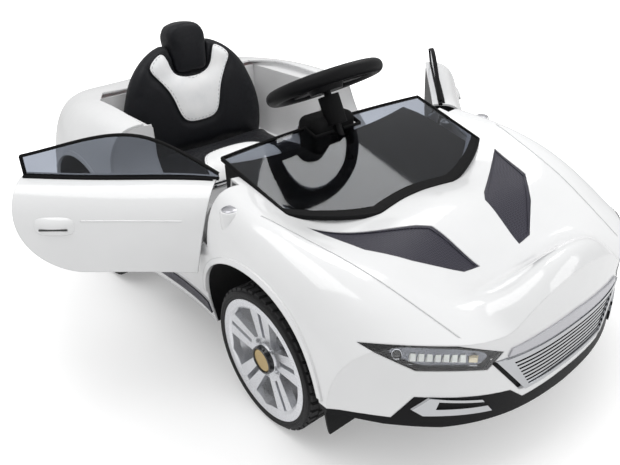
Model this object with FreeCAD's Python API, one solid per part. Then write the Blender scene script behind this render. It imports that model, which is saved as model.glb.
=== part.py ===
import FreeCAD, Part
import math
import os

# Electric ride-on car. Millimetres, +X forward, +Y left, +Z up, origin on the ground under the middle.

# Wheels and axles
WHEEL_RADIUS = 105.0
RIM_RADIUS = 90.0
TYRE_WIDTH = 66.0
TRACK_OUTER = 275.0
WHEELBASE = 540.0
FRONT_AXLE_X = 224.0
AXLE_RADIUS = 5.0
RUNNING_GAP = 0.05
HUB_RADIUS = 19.0
CAP_RADIUS = 17.0

# Body shell
NOSE_X = 508.0
TAIL_X = -511.0
HALF_WIDTH = 292.0
SILL_Z = 82.0
WALL = 4.0
FIT_GAP = 0.4
HOOD_NOSE_Z = 204.0
COWL_Z = 270.0
BELT_Z = 318.0
DECK_Z = 320.0
ARCH_RADIUS = 145.0
COCKPIT_HALF = 205.0
COCKPIT_REAR_X = -428.0
COWL_X = 244.0
LOWER_BUMPER_Z = 119.0
REAR_BUMPER_Z = 150.0

# Doors
HINGE_X = 106.0
HINGE_Y = 232.0
HINGE_PIN_RADIUS = 4.0
HINGE_BARREL_RADIUS = 12.0
HINGE_LOW_Z = 240.0
HINGE_TOP_Z = 290.0
DOOR_LENGTH = 292.0
DOOR_BOTTOM_Z = 198.0
DOOR_GAP = 3.0
DOOR_FRONT_GAP = 7.0
DOOR_OPEN_DEG = 45.5
WINDOW_RISE = 60.0
PANE = 3.0

# Cockpit
TUB_WALL = 3.0
TUB_HALF = 190.0
FOOTWELL_HALF = 160.0
TUB_FRONT_X = 124.0
PAN_THICK = 5.0
WELL_WALL = 3.0
FRONT_WELL_Y = 165.0
REAR_WELL_Y = 193.0
SEAT_BASE_Z = 160.0
SEAT_FRONT_X = -190.0
SEAT_BACK_X = -356.0
SEAT_HALF = 150.0
CUSHION_THICK = 38.0
BACK_THICK = 44.0
BACK_TOP_Z = 404.0
HEADREST_TOP_Z = 440.0

# Steering
STEER_X = 48.0
STEER_Z = 396.0
STEER_TILT_DEG = 26.0
STEER_RIM_RADIUS = 84.0
STEER_GRIP_RADIUS = 11.0
SHAFT_RADIUS = 6.0
KINGPIN_Y = 185.0
KINGPIN_RADIUS = 4.0
KNUCKLE_ARM = 76.0
CRANK_ARM = 36.5

REAR_AXLE_X = FRONT_AXLE_X - WHEELBASE
AXLE_Z = WHEEL_RADIUS
SHAPES = {}


def V(x, y, z):
    return FreeCAD.Vector(x, y, z)


def box(x0, x1, y0, y1, z0, z1):
    return Part.makeBox(x1 - x0, y1 - y0, z1 - z0, V(x0, y0, z0))


def cylinder_y(x, z, radius, y0, y1):
    return Part.makeCylinder(radius, y1 - y0, V(x, y0, z), V(0, 1, 0))


def cylinder_z(x, y, radius, z0, z1):
    return Part.makeCylinder(radius, z1 - z0, V(x, y, z0))


def mirrored(shape):
    return shape.mirror(V(0, 0, 0), V(0, 1, 0))


def both_sides(shape):
    return Part.makeCompound([shape, mirrored(shape)])


def spline(points):
    curve = Part.BSplineCurve()
    curve.interpolate(points)
    return curve.toShape()


def polygon_face(points):
    return Part.Face(Part.makePolygon(points + [points[0]]))


def side_prism(outline, y0, y1):
    """Solid over an outline of (x, z) points, from y0 to y1."""
    return polygon_face([V(x, y0, z) for x, z in outline]).extrude(V(0, y1 - y0, 0))


def largest(shape):
    return max(shape.Solids, key=lambda solid: solid.Volume)


def keep(name, shape):
    SHAPES[name] = shape


# Body: stations from nose to tail, each with hip, crest, valley and crown
def stations():
    wide = HALF_WIDTH
    front = FRONT_AXLE_X
    rear = REAR_AXLE_X
    return [
        (NOSE_X + 20, wide - 34, 130, wide - 70, HOOD_NOSE_Z - 20, 120, HOOD_NOSE_Z - 4, HOOD_NOSE_Z),
        (NOSE_X - 70, wide - 18, 140, wide - 62, 226, 130, 240, 242),
        (front + 116, wide - 5, 160, wide - 48, COWL_Z + 2, 135, COWL_Z - 4, COWL_Z - 1),
        (front + 76, wide - 4, 168, wide - 47, COWL_Z + 17, 165, COWL_Z + 6, COWL_Z + 11),
        (front, wide - 2, 180, wide - 48, COWL_Z + 34, 185, COWL_Z + 14, COWL_Z),
        (front - 125, wide - 24, 135, wide - 54, BELT_Z - 1, 170, BELT_Z - 8, BELT_Z - 20),
        (front - 285, wide - 28, 130, wide - 54, BELT_Z, 170, BELT_Z, BELT_Z - 6),
        (rear + 116, wide - 12, 160, wide - 52, BELT_Z + 3, 170, BELT_Z + 3, BELT_Z),
        (rear, wide + 3, 200, wide - 50, DECK_Z + 2, 160, DECK_Z + 5, DECK_Z + 2),
        (rear - 114, wide, 200, wide - 57, DECK_Z - 5, 150, DECK_Z + 2, DECK_Z + 2),
        (TAIL_X - 20, wide - 17, 200, wide - 67, DECK_Z - 20, 140, DECK_Z - 10, DECK_Z - 8),
    ]


SILL_TUCK = 10.0


def section(station, inset, bottom):
    x, half, hip_z, crest_y, crest_z, valley_y, valley_z, crown_z = station
    side = [
        (half - SILL_TUCK - inset, bottom),
        (half - inset, hip_z),
        (crest_y - 0.7 * inset, crest_z - 0.8 * inset),
        (valley_y, valley_z - inset),
    ]
    left = [V(x, y, z) for y, z in side]
    right = [V(x, -y, z) for y, z in reversed(side)]
    top = spline(left + [V(x, 0, crown_z - inset)] + right)
    base = Part.makeLine(right[-1], left[0])
    return Part.Wire([top, base])


def plan_prism(inset):
    """Plan outline with a rounded nose and tail, as a tall prism."""
    clear = HALF_WIDTH + 30
    nose = [(NOSE_X, 0), (NOSE_X - 5, 80), (NOSE_X - 29, 160), (NOSE_X - 80, 235), (NOSE_X - 168, clear)]
    tail = [(TAIL_X, 0), (TAIL_X + 5, 110), (TAIL_X + 28, 220), (TAIL_X + 88, clear)]
    nose = [V(x - inset, y, 0) for x, y in nose]
    tail = [V(x + inset, y, 0) for x, y in tail]

    def flip(points):
        return [V(p.x, -p.y, 0) for p in points]

    front = spline(flip(nose)[::-1] + nose[1:])
    back = spline(tail[::-1] + flip(tail)[1:])
    left = Part.makeLine(nose[-1], tail[-1])
    right = Part.makeLine(flip(tail)[-1], flip(nose)[-1])
    face = Part.Face(Part.Wire([front, left, back, right]))
    return face.extrude(V(0, 0, 600))


def body_form(inset, bottom=SILL_Z):
    loft = Part.makeLoft([section(s, inset, bottom) for s in stations()], True, False)
    return loft.common(plan_prism(inset))


OUTER = body_form(0.0)
INNER = body_form(WALL, SILL_Z - 12)
LINED = body_form(WALL + FIT_GAP, SILL_Z - 12)
PROUD = body_form(-0.4, SILL_Z - 12)
SHELL = OUTER.cut(INNER)


SIDE_FAR = HALF_WIDTH + 40
DOOR_INNER = COCKPIT_HALF + 2
DOOR_CORNER = 92.0
PAN_TOP = SILL_Z + PAN_THICK
FLOOR_Z = PAN_TOP + TUB_WALL
DOOR_REAR_X = HINGE_X - DOOR_LENGTH


# Side view of the closed door: slanted front edge, round rear lower corner
def door_prism(grow, front_grow, y0, y1):
    low = DOOR_BOTTOM_Z - grow
    rear = DOOR_REAR_X - grow
    top = BELT_Z + 90
    turn = math.sin(math.pi / 4)
    a = V(HINGE_X - 41 + front_grow, y0, low)
    b = V(rear + DOOR_CORNER, y0, low)
    mid = V(rear + DOOR_CORNER * (1 - turn), y0, low + DOOR_CORNER * (1 - turn))
    c = V(rear, y0, low + DOOR_CORNER)
    d = V(rear, y0, top)
    e = V(HINGE_X + 9 + front_grow, y0, top)
    edges = [
        Part.makeLine(a, b),
        Part.Arc(b, mid, c).toShape(),
        Part.makeLine(c, d),
        Part.makeLine(d, e),
        Part.makeLine(e, a),
    ]
    return Part.Face(Part.Wire(edges)).extrude(V(0, y1 - y0, 0))


def door_opening(wall=0.0):
    return door_prism(DOOR_GAP + wall, DOOR_FRONT_GAP + wall, -SIDE_FAR, -TUB_HALF)


def hinge_notch():
    """Room for the hinge barrel and its arm, open to the outside and to the top."""
    clear = HINGE_BARREL_RADIUS + 3
    return box(HINGE_X - 60, HINGE_X + clear, -SIDE_FAR, -HINGE_Y + clear, HINGE_LOW_Z - 0.5, BELT_Z + 60)


def cockpit_prism():
    """Plan opening of the cockpit: round at the cowl, square behind the seat."""
    half = COCKPIT_HALF
    corner_x = COWL_X - 62
    arc = [V(corner_x, 14 - half, 200), V(COWL_X, 0, 200), V(corner_x, half - 14, 200)]
    rear = COCKPIT_REAR_X
    left = [arc[2], V(COWL_X - 150, half, 200), V(rear + 60, half, 200), V(rear, half - 30, 200)]
    right = [V(p.x, -p.y, p.z) for p in reversed(left)]
    side = Part.makePolygon(left + right)
    outline = Part.Wire([Part.Arc(*arc).toShape()] + side.Edges)
    return Part.Face(outline).extrude(V(0, 0, 300))


def wheel_cuts(radius, y0):
    """Wheel cut-outs of the right side, front and rear."""
    cuts = []
    for x in (FRONT_AXLE_X, REAR_AXLE_X):
        round_part = cylinder_y(x, AXLE_Z, radius, -SIDE_FAR, -y0)
        cuts.append(round_part.fuse(box(x - radius, x + radius, -SIDE_FAR, -y0, 0, AXLE_Z)))
    return cuts


# Front view of the grille: an inverted trapezoid
GRILLE_TOP_Z = 190.0
GRILLE_LOW_Z = 132.0
GRILLE_TOP_HALF = 131.0
GRILLE_LOW_HALF = 84.0
GRILLE_FRAME = 5.0
GRILLE_SIDE = 22.0
GRILLE_REVEAL = 6.0
GRILLE_BARS = 8
GRILLE_BAR = 3.2


def front_area(points):
    """Prism along X over a front-view outline of (y, z) points."""
    return polygon_face([V(NOSE_X - 140, y, z) for y, z in points]).extrude(V(240, 0, 0))


def grille_area(top_half, low_half, shrink):
    low = GRILLE_LOW_Z + shrink
    top = GRILLE_TOP_Z - shrink
    return front_area([(-top_half, top), (top_half, top), (low_half, low), (-low_half, low)])


def grille_prism(shrink):
    return grille_area(GRILLE_TOP_HALF - 1.4 * shrink, GRILLE_LOW_HALF - 0.7 * shrink, shrink)


def grille_window():
    """Opening inside the frame, whose sides are wide at the top."""
    return grille_area(GRILLE_TOP_HALF - GRILLE_SIDE, GRILLE_LOW_HALF - GRILLE_FRAME, GRILLE_FRAME)


def grille_recess(grow):
    """Opening of the shell, with a dark reveal at the sides of the frame."""
    reveal = GRILLE_REVEAL + grow
    return grille_area(GRILLE_TOP_HALF + reveal, GRILLE_LOW_HALF + reveal, -FIT_GAP - grow)


def plan_band(outside, inside):
    """Curved plate that follows the nose and tail in plan, between two insets."""
    return plan_prism(outside).cut(plan_prism(inside))


# Front view of the black lower bumper: raised round the fog lamps
FOG_TOP_Z = 158.0
ARCH_LIP_Z = 146.0


def below_line(half, shrink):
    """Everything ahead of the front wheels below a mirrored front-view line."""
    x0 = FRONT_AXLE_X + 60
    top = [V(x0, y, z - shrink) for y, z in half]
    other = [V(x0, -p.y, p.z) for p in reversed(top[1:])]
    points = other + top + [V(x0, SIDE_FAR, 0), V(x0, -SIDE_FAR, 0)]
    return polygon_face(points).extrude(V(NOSE_X, 0, 0))


def bumper_prism(shrink):
    low = LOWER_BUMPER_Z
    half = [(0, low), (84, low), (105, low + 19), (214, FOG_TOP_Z), (234, low + 9), (277, low + 19),
            (SIDE_FAR, low + 23)]
    return below_line(half, shrink)


def bumper_foot():
    """Space under the front bumper, whose lower edge rises to the sides."""
    low = SILL_Z + 16
    half = [(0, low), (100, low + 4), (186, low + 9), (240, low + 20), (277, low + 32), (SIDE_FAR, low + 40)]
    return below_line(half, 0)


# Headlight: a slanted wedge on the front corner, drawn square to that corner
LAMP_CORNERS = [V(392, -252, 226), V(470, -176, 224), V(495, -124, 203), V(487, -141, 182), V(446, -214, 196)]
LAMP_AIM = V(0.62, -0.62, 0.48)


def flat_prism(corners, aim, grow, depth):
    """Prism along aim over an outline grown from its middle."""
    middle = corners[0]
    for p in corners[1:]:
        middle = middle + p
    middle = middle * (1.0 / len(corners))
    aim = V(aim.x, aim.y, aim.z).normalize()
    flat = []
    for p in corners:
        out = p - middle
        out = out - aim * out.dot(aim)
        flat.append(middle + out * ((out.Length + grow) / out.Length) - aim * depth)
    return polygon_face(flat).extrude(aim * (2 * depth))


VENT_CORNERS = [V(237, -194, 280), V(311, -72, 280), V(325, -56, 280), V(395, -42, 280),
                V(392, -70, 280), V(354, -124, 280), V(314, -166, 280), V(281, -178, 280)]
UP = V(0, 0, 1)


def headlight_prism(grow):
    return flat_prism(LAMP_CORNERS, LAMP_AIM, grow, 60)


def vent_prism(grow):
    return flat_prism(VENT_CORNERS, UP, grow, 90)


def layer(outside, inside, region):
    """Part of region that lies between two insets of the body's surface."""
    return region.common(body_form(outside)).cut(body_form(inside))


TAIL_LAMP = (120.0, 212.0, 246.0, 274.0)


def tail_lamp_box(grow):
    y0, y1, z0, z1 = TAIL_LAMP
    return box(TAIL_X - 30, TAIL_X + 130, -y1 - grow, -y0 + grow, z0 - grow, z1 + grow)


def both(shape):
    return [shape, mirrored(shape)]


# Raised lip round the wheel arches, and the shallow line that parts hood and wing
LIP_WIDTH = 8.0
LIP_RISE = 2.2
LINE_WIDTH = 1.8
LINE_DEPTH = 1.6
LINE_LOW_Z = 228.0


def arch_lips():
    lips = []
    for x, high in ((FRONT_AXLE_X, ARCH_LIP_Z), (REAR_AXLE_X, REAR_BUMPER_Z + 4)):
        ring = cylinder_y(x, AXLE_Z, ARCH_RADIUS + LIP_WIDTH, -SIDE_FAR, -200)
        ring = ring.cut(cylinder_y(x, AXLE_Z, ARCH_RADIUS, -SIDE_FAR - 1, -199))
        ring = ring.cut(box(x - 200, x + 200, -SIDE_FAR - 1, 0, 0, high))
        lips.append(layer(-LIP_RISE, WALL, ring))
    return Part.makeCompound([solid for lip in lips for solid in lip.Solids])


def hood_line():
    start = V(204, -240, 0)
    end = V(486, -162, 0)
    across = V(start.y - end.y, end.x - start.x, 0).normalize() * (LINE_WIDTH / 2)
    corners = [start + across, end + across, end - across, start - across]
    slab = polygon_face(corners).extrude(V(0, 0, 500))
    return layer(-1.0, LINE_DEPTH, slab).cut(box(0, NOSE_X, -SIDE_FAR, 0, 0, LINE_LOW_Z))


# Body shell
def make_body_shell():
    shell = SHELL.cut(cockpit_prism())
    for cut in wheel_cuts(ARCH_RADIUS, 150) + [door_opening(), hinge_notch()]:
        shell = shell.cut(both(cut))
    tail = box(TAIL_X - 40, REAR_AXLE_X - 120, -SIDE_FAR, SIDE_FAR, 0, REAR_BUMPER_Z)
    shell = shell.cut([bumper_prism(0), tail, grille_recess(0)])
    for cut in (headlight_prism(FIT_GAP), vent_prism(FIT_GAP), tail_lamp_box(FIT_GAP), hood_line()):
        shell = shell.cut(both(cut))
    keep("body_shell", largest(shell.fuse(both(arch_lips())).removeSplitter()))


def make_bumpers():
    front = SHELL.common(bumper_prism(FIT_GAP)).cut(both(wheel_cuts(ARCH_RADIUS, 150)[0]) + [bumper_foot()])
    backing = plan_band(5.2, 8).common(grille_recess(2).cut(both(headlight_prism(2))))
    keep("front_bumper", Part.makeCompound([largest(front), largest(backing)]))
    slab = box(TAIL_X - 40, REAR_AXLE_X - 120 - FIT_GAP, -SIDE_FAR, SIDE_FAR, 0, REAR_BUMPER_Z - FIT_GAP)
    rear = SHELL.common(slab).cut(both(wheel_cuts(ARCH_RADIUS, 150)[1]))
    keep("rear_bumper", largest(rear))


def make_nose():
    frame = plan_band(-3, 5).common(grille_prism(0).cut(grille_window()))
    pitch = (GRILLE_TOP_Z - GRILLE_LOW_Z - 2 * GRILLE_FRAME) / GRILLE_BARS
    slabs = []
    for i in range(GRILLE_BARS):
        z = GRILLE_LOW_Z + GRILLE_FRAME + (i + 0.5) * pitch
        slabs.append(box(NOSE_X - 90, NOSE_X + 40, -200, 200, z - GRILLE_BAR / 2, z + GRILLE_BAR / 2))
    bars = plan_band(-1, 4).common(grille_prism(1)).common(Part.makeCompound(slabs))
    keep("grille", frame.common(box(0, NOSE_X + 40, -200, 200, 0, 400)).fuse(bars.Solids).removeSplitter())
    low = GRILLE_TOP_Z + 2.5
    half = [(116, low), (112, low + 10), (60, low + 15.5), (0, low + 17.5)]
    crescent = front_area(half + [(-y, z) for y, z in reversed(half[:-1])])
    keep("nose_trim", largest(plan_band(-2.2, -0.2).common(crescent).cut(both(headlight_prism(1)))))
    window = [(-207, 130), (-217, 140), (-201, 155), (-145, 141), (-131, 119.5)]
    inner = [(-195, 138), (-192, 149), (-140, 136), (-120, 127)]

    fog = plan_band(-3.2, -0.2).common(front_area(window).cut(front_area(inner)))
    keep("fog_trims", Part.makeCompound(both(largest(fog))))


def make_lamps():
    clear = grille_prism(-1.5)
    pan = layer(1.2, 11.0, headlight_prism(0).cut(clear))
    pan = largest(pan.cut(layer(0.0, 6.5, headlight_prism(-4))))
    lens = largest(layer(-0.6, 1.0, headlight_prism(-1).cut(clear)))
    keep("headlight_housings", Part.makeCompound(both(pan)))
    keep("headlight_lenses", Part.makeCompound(both(lens)))
    tail = largest(layer(-1.0, 3.0, tail_lamp_box(0)))
    keep("tail_lights", Part.makeCompound(both(tail)))


def make_vents():
    insert = layer(0.8, 7.0, vent_prism(0)).cut(layer(0.0, 2.4, vent_prism(-5)))
    keep("hood_vents", Part.makeCompound(both(largest(insert))))


def make_skirts():
    front = FRONT_AXLE_X - ARCH_RADIUS - 5
    rear = REAR_AXLE_X + ARCH_RADIUS + 5
    strip = layer(-2.4, -0.3, box(rear, front, -SIDE_FAR, -200, SILL_Z + 16, SILL_Z + 38))
    keep("side_skirts", Part.makeCompound(both(largest(strip))))


# Windscreen visor: a thin curved sheet from the cowl to above the dash
VISOR_REAR_X = 60.0
VISOR_REAR_Z = 334.0
VISOR_HALF = 204.0


def make_windscreen():
    low = COWL_Z - 6
    side_x = COWL_X - 42
    half = VISOR_HALF - 7
    base = Part.Arc(V(side_x, -half, low + 26), V(COWL_X + 14, 0, low), V(side_x, half, low + 26))
    side_z = VISOR_REAR_Z - 4
    rear = Part.Arc(V(VISOR_REAR_X, -VISOR_HALF, side_z), V(VISOR_REAR_X - 6, 0, VISOR_REAR_Z),
                    V(VISOR_REAR_X, VISOR_HALF, side_z))
    sheet = Part.makeRuledSurface(base.toShape(), rear.toShape()).extrude(V(0, 0, PANE))
    half = BINNACLE_HALF + 3
    notch = box(0, DASH_REAR_X + BINNACLE_FRONT + 3, -half, half, 0, 500)
    keep("windscreen", largest(sheet.cut([PROUD, notch, shaft_axis_hole(SHAFT_RADIUS + 4)])))


# Cockpit tub with seat box, footwell, door jambs and hinge ears
HAUNCH_TOP_Z = 312.0
WALL_TOP_Z = 225.0


def make_tub():
    wall = TUB_WALL
    front = FRONT_AXLE_X - ARCH_RADIUS - 8
    sill = DOOR_BOTTOM_Z - DOOR_GAP
    low = FLOOR_Z - wall
    half = TUB_HALF
    tray = box(SEAT_FRONT_X, front, -half, half, low, sill)
    tray = tray.cut(box(SEAT_FRONT_X - 1, front + 1, wall - half, half - wall, FLOOR_Z, sill + 1))
    foot = FOOTWELL_HALF
    nose = box(front - wall, TUB_FRONT_X, -foot, foot, low, WALL_TOP_Z)
    inside = foot - wall
    high = WALL_TOP_Z + 1
    nose = nose.cut(box(front - wall - 1, TUB_FRONT_X - wall, -inside, inside, FLOOR_Z, high))
    shoulder = box(front - wall, front, -half, half, low, WALL_TOP_Z)
    shoulder = shoulder.cut(box(front - wall - 1, front + 1, -inside, inside, FLOOR_Z, high))
    tray = tray.fuse([nose, shoulder]).cut(shaft_axis_hole(SHAFT_RADIUS + 3))
    for y in (PEDAL_Y - PEDAL_HALF - 6, PEDAL_Y + PEDAL_HALF + 1):
        post = box(PEDAL_X - 8, PEDAL_X + 8, y, y + 5, FLOOR_Z - 1, PEDAL_Z + 8)
        tray = tray.fuse(post.cut(cylinder_y(PEDAL_X, PEDAL_Z, PEDAL_PIN_RADIUS, y - 1, y + 6)))
    keep("cockpit_tub", largest(tray.removeSplitter()))
    screws = []
    for x in (40, -60, -150):
        for y in (-120, 120):
            screws.append(cylinder_z(x, y, 5, FLOOR_Z, FLOOR_Z + 2.4))
    keep("floor_screws", Part.makeCompound(screws))


def make_seat_box():
    """Bench under the seat with its front, the wall behind it and the side walls."""
    wall = TUB_WALL
    rear = COCKPIT_REAR_X
    side = DOOR_REAR_X - DOOR_GAP - wall
    sill = DOOR_BOTTOM_Z - DOOR_GAP
    front = SEAT_FRONT_X
    base = SEAT_BASE_Z
    top = HAUNCH_TOP_Z
    low = FLOOR_Z - wall
    outside = [(front, low), (front - wall, low), (front - wall, base - wall), (rear - wall, base - wall),
               (rear - wall, top), (side, top), (side, sill), (front, sill)]
    inside = [(front + 1, base), (rear, base), (rear, top + 20), (front + 1, top + 20)]
    bench = side_prism(outside, -TUB_HALF, TUB_HALF).cut(side_prism(inside, wall - TUB_HALF, TUB_HALF - wall))
    socket = cylinder_z(SOCKET_X, SOCKET_Y, SOCKET_RADIUS + FIT_GAP, base - 30, base + 10)
    keep("seat_box", largest(bench.cut(socket)))


def make_door_frames():
    """Jamb round each door opening, with the hinge's ear and the ledge behind it."""
    wall = TUB_WALL
    jamb = door_opening(wall).cut(door_opening()).common(LINED).cut(hinge_notch())
    side = DOOR_REAR_X - DOOR_GAP - wall
    ledge = box(COCKPIT_REAR_X - wall, side + wall, -SIDE_FAR, -TUB_HALF, HAUNCH_TOP_Z - wall, HAUNCH_TOP_Z)
    ledge = ledge.common(LINED).cut(door_opening())
    ear = cylinder_z(HINGE_X, -HINGE_Y, HINGE_BARREL_RADIUS, HINGE_LOW_Z - 28, HINGE_LOW_Z - 0.5)
    arm = box(HINGE_X - 26, HINGE_X, -HINGE_Y - 8, -HINGE_Y + 8, HINGE_LOW_Z - 26, HINGE_LOW_Z - 4)
    ear = ear.fuse(arm).common(LINED).cut(door_opening())
    frame = jamb.fuse([ledge, ear]).cut(cylinder_z(HINGE_X, -HINGE_Y, HINGE_PIN_RADIUS, 0, 400))
    keep("door_frames", Part.makeCompound(both(largest(frame.removeSplitter()))))


# Steering: built upright, then tilted about the wheel's centre
SHAFT_LENGTH = 300.4
CRANK_THICK = 8.0


def tilted(shape):
    turned = shape.copy()
    turned.rotate(V(0, 0, 0), V(0, 1, 0), -STEER_TILT_DEG)
    turned.translate(V(STEER_X, 0, STEER_Z))
    return turned


def shaft_axis_hole(radius):
    return tilted(cylinder_z(0, 0, radius, -SHAFT_LENGTH - 20, 0))


HORN_RADIUS = 22.0
HORN_TRAVEL = 3.0


def make_steering():
    rim = Part.makeTorus(STEER_RIM_RADIUS, STEER_GRIP_RADIUS)
    hub = Part.makeCone(26, 34, 20, V(0, 0, -14)).fuse(cylinder_z(0, 0, 34, 6, 12))
    for angle in (0, 90, 180):
        spoke = box(24, STEER_RIM_RADIUS - 6, -14, 14, -6, 5)
        spoke = spoke.makeFillet(4, spoke.Edges)
        spoke.rotate(V(0, 0, 0), V(0, 0, 1), angle + 90)
        hub = hub.fuse(spoke)
    wheel = rim.fuse(hub)
    wheel = wheel.cut(cylinder_z(0, 0, HORN_RADIUS + 0.4, 4, 40))
    wheel = wheel.cut(cylinder_z(0, 0, 5 + RUNNING_GAP, -9, 40))
    keep("steering_wheel", tilted(largest(wheel)))
    button = cylinder_z(0, 0, HORN_RADIUS, 4 + HORN_TRAVEL + 0.4, 16)
    button = button.makeFillet(3, [e for e in button.Edges if e.BoundBox.ZMin > 15])
    keep("horn_button", tilted(button.fuse(cylinder_z(0, 0, 5, -9 + HORN_TRAVEL + 0.4, 10))))
    shaft = cylinder_z(0, 0, SHAFT_RADIUS, -SHAFT_LENGTH, -14)
    crank = box(-CRANK_ARM - 7, 7, -7, 7, -SHAFT_LENGTH, CRANK_THICK - SHAFT_LENGTH)
    pin = cylinder_z(-CRANK_ARM, 0, 4, -SHAFT_LENGTH - 22, -SHAFT_LENGTH)
    keep("steering_shaft", tilted(shaft.fuse([crank, pin])))


BEAM_LOW = PAN_TOP
BEAM_HIGH = 122.0
BEAM_PLATE = 3.0
KNUCKLE_GAP = 0.4
TIE_THICK = 6.0
HUB_SETBACK = 19.0
TIE_PIN_RADIUS = 3.5
TIE_X = FRONT_AXLE_X - KNUCKLE_ARM
KNUCKLE_ARM_Z = 92.0
TIE_LOW = KNUCKLE_ARM_Z + 6.4


def make_front_axle():
    x0 = FRONT_AXLE_X - 20
    x1 = FRONT_AXLE_X + 20
    end = KINGPIN_Y + 9
    low = box(x0, x1, -end, end, BEAM_LOW, BEAM_LOW + BEAM_PLATE)
    high = box(x0, x1, -end, end, BEAM_HIGH, BEAM_HIGH + BEAM_PLATE)
    web = box(x1 - 4, x1, -FRONT_WELL_Y + 4, FRONT_WELL_Y - 4, BEAM_LOW, BEAM_HIGH + BEAM_PLATE)
    beam = low.fuse([high, web]).cut(both(cylinder_z(FRONT_AXLE_X, -KINGPIN_Y, KINGPIN_RADIUS, 0, 300)))
    keep("front_axle_beam", beam)
    top = BEAM_HIGH + BEAM_PLATE
    collar = tilted(cylinder_z(0, 0, SHAFT_RADIUS + 6, -258, -244))
    arm = box(150, x1, -8, 8, 164, 176)
    leg = box(x1 - 12, x1, -8, 8, top, 176)
    bracket = collar.fuse([arm, leg]).cut(shaft_axis_hole(SHAFT_RADIUS + RUNNING_GAP))
    keep("steering_bracket", largest(bracket))
    block = box(FRONT_AXLE_X - 12, FRONT_AXLE_X + 12, -KINGPIN_Y - 12.5, -KINGPIN_Y + 12,
                BEAM_LOW + BEAM_PLATE + KNUCKLE_GAP, BEAM_HIGH - KNUCKLE_GAP)
    stub = cylinder_y(FRONT_AXLE_X, AXLE_Z, AXLE_RADIUS, -TRACK_OUTER + 7, -KINGPIN_Y - 12)
    shoulder = -KINGPIN_Y - HUB_SETBACK + KNUCKLE_GAP
    stub = stub.fuse(cylinder_y(FRONT_AXLE_X, AXLE_Z, AXLE_RADIUS + 4, shoulder, -KINGPIN_Y - 12))
    arm = box(TIE_X, FRONT_AXLE_X, -KINGPIN_Y - 9, -KINGPIN_Y + 9, KNUCKLE_ARM_Z, KNUCKLE_ARM_Z + 6)
    arm = arm.fuse(cylinder_z(TIE_X, -KINGPIN_Y, 9, KNUCKLE_ARM_Z, KNUCKLE_ARM_Z + 6))
    pin = cylinder_z(TIE_X, -KINGPIN_Y, TIE_PIN_RADIUS, KNUCKLE_ARM_Z, TIE_LOW + TIE_THICK + 3)
    bore = cylinder_z(FRONT_AXLE_X, -KINGPIN_Y, KINGPIN_RADIUS + RUNNING_GAP, 0, 300)
    knuckle = block.fuse([stub, arm, pin]).cut(bore)
    keep("right_knuckle", knuckle)
    keep("left_knuckle", mirrored(knuckle))
    high = TIE_LOW + TIE_THICK
    rod = box(TIE_X - 7, TIE_X + 7, -KINGPIN_Y, KINGPIN_Y, TIE_LOW, high)
    rod = rod.fuse([cylinder_z(TIE_X, y, 9, TIE_LOW, high) for y in (-KINGPIN_Y, KINGPIN_Y)])
    slot_x = 151.0
    rod = rod.fuse(box(slot_x - 17, slot_x + 22, -14, 14, TIE_LOW, high))
    rod = rod.cut([cylinder_z(TIE_X, -KINGPIN_Y, TIE_PIN_RADIUS + RUNNING_GAP, 0, 300),
                   cylinder_z(TIE_X, KINGPIN_Y, TIE_PIN_RADIUS + 0.6, 0, 300),
                   box(slot_x - 9, slot_x + 14, -5.4, 5.4, 0, 300)])
    keep("tie_rod", rod.removeSplitter())


# Wheels, built with the outer face towards -Y
def revolved(profile, x, outer_y):
    points = [V(x + r, outer_y + a, AXLE_Z) for r, a in profile]
    return polygon_face(points).revolve(V(x, 0, AXLE_Z), V(0, 1, 0), 360)


SPOKE_COUNT = 5
GROOVE = 2.0


def make_wheel(name, x, hub_end):
    r = RIM_RADIUS
    big = WHEEL_RADIUS
    wide = TYRE_WIDTH
    bore = AXLE_RADIUS + RUNNING_GAP
    outer = -TRACK_OUTER
    hub = HUB_RADIUS
    rim_profile = [(bore, 7), (hub, 7), (hub + 3, 11), (r - 14, 5), (r - 10, 2), (r, 2), (r, wide - 4),
                   (r - 6, wide - 4), (r - 8, 15), (hub + 5, 21), (hub, 25), (hub, hub_end), (bore, hub_end)]
    rim = revolved(rim_profile, x, outer)
    cuts = []
    for i in range(SPOKE_COUNT):
        window = []
        for radius, angle in ((32, -9), (r - 14, -20), (r - 11.5, 0), (r - 14, 20), (32, 9)):
            t = math.radians(angle + 36 + 360 * i / SPOKE_COUNT)
            window.append(V(x + radius * math.sin(t), outer - 1, AXLE_Z + radius * math.cos(t)))
        cuts.append(polygon_face(window).extrude(V(0, 32, 0)))
        slot = box(x - 3.5, x + 3.5, outer - 1, outer + 31, AXLE_Z + 34, AXLE_Z + r - 14)
        slot.rotate(V(x, 0, AXLE_Z), V(0, 1, 0), 360 * i / SPOKE_COUNT)
        cuts.append(slot)
    rim = rim.cut(cuts)
    inner = r + RUNNING_GAP
    tread = big - GROOVE
    tyre_profile = [(inner, 3), (inner + 3, 0.5), (big - 6, 0), (big - 2, 3), (big, 9), (big, 22), (tread, 23),
                    (tread, 26), (big, 27), (big, wide - 27), (tread, wide - 26), (tread, wide - 23),
                    (big, wide - 22), (big, wide - 9), (big - 2, wide - 3), (big - 6, wide), (inner, wide - 2)]
    tyre = revolved(tyre_profile, x, outer)
    cap = cylinder_y(x, AXLE_Z, CAP_RADIUS, outer + 2.5, outer + 7)
    cap = cap.makeChamfer(1.2, [e for e in cap.Edges if e.BoundBox.YMax < outer + 3])
    for side, place in (("right", lambda s: s), ("left", mirrored)):
        keep("%s_%s_tyre" % (name, side), place(tyre))
        keep("%s_%s_rim" % (name, side), place(rim))
        keep("%s_%s_hub_cap" % (name, side), place(cap))


# Chassis
GEARBOX_Y0 = 142.0
PAN_FRONT_X = 410.0
PAN_FRONT_HALF = 180.0


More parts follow.
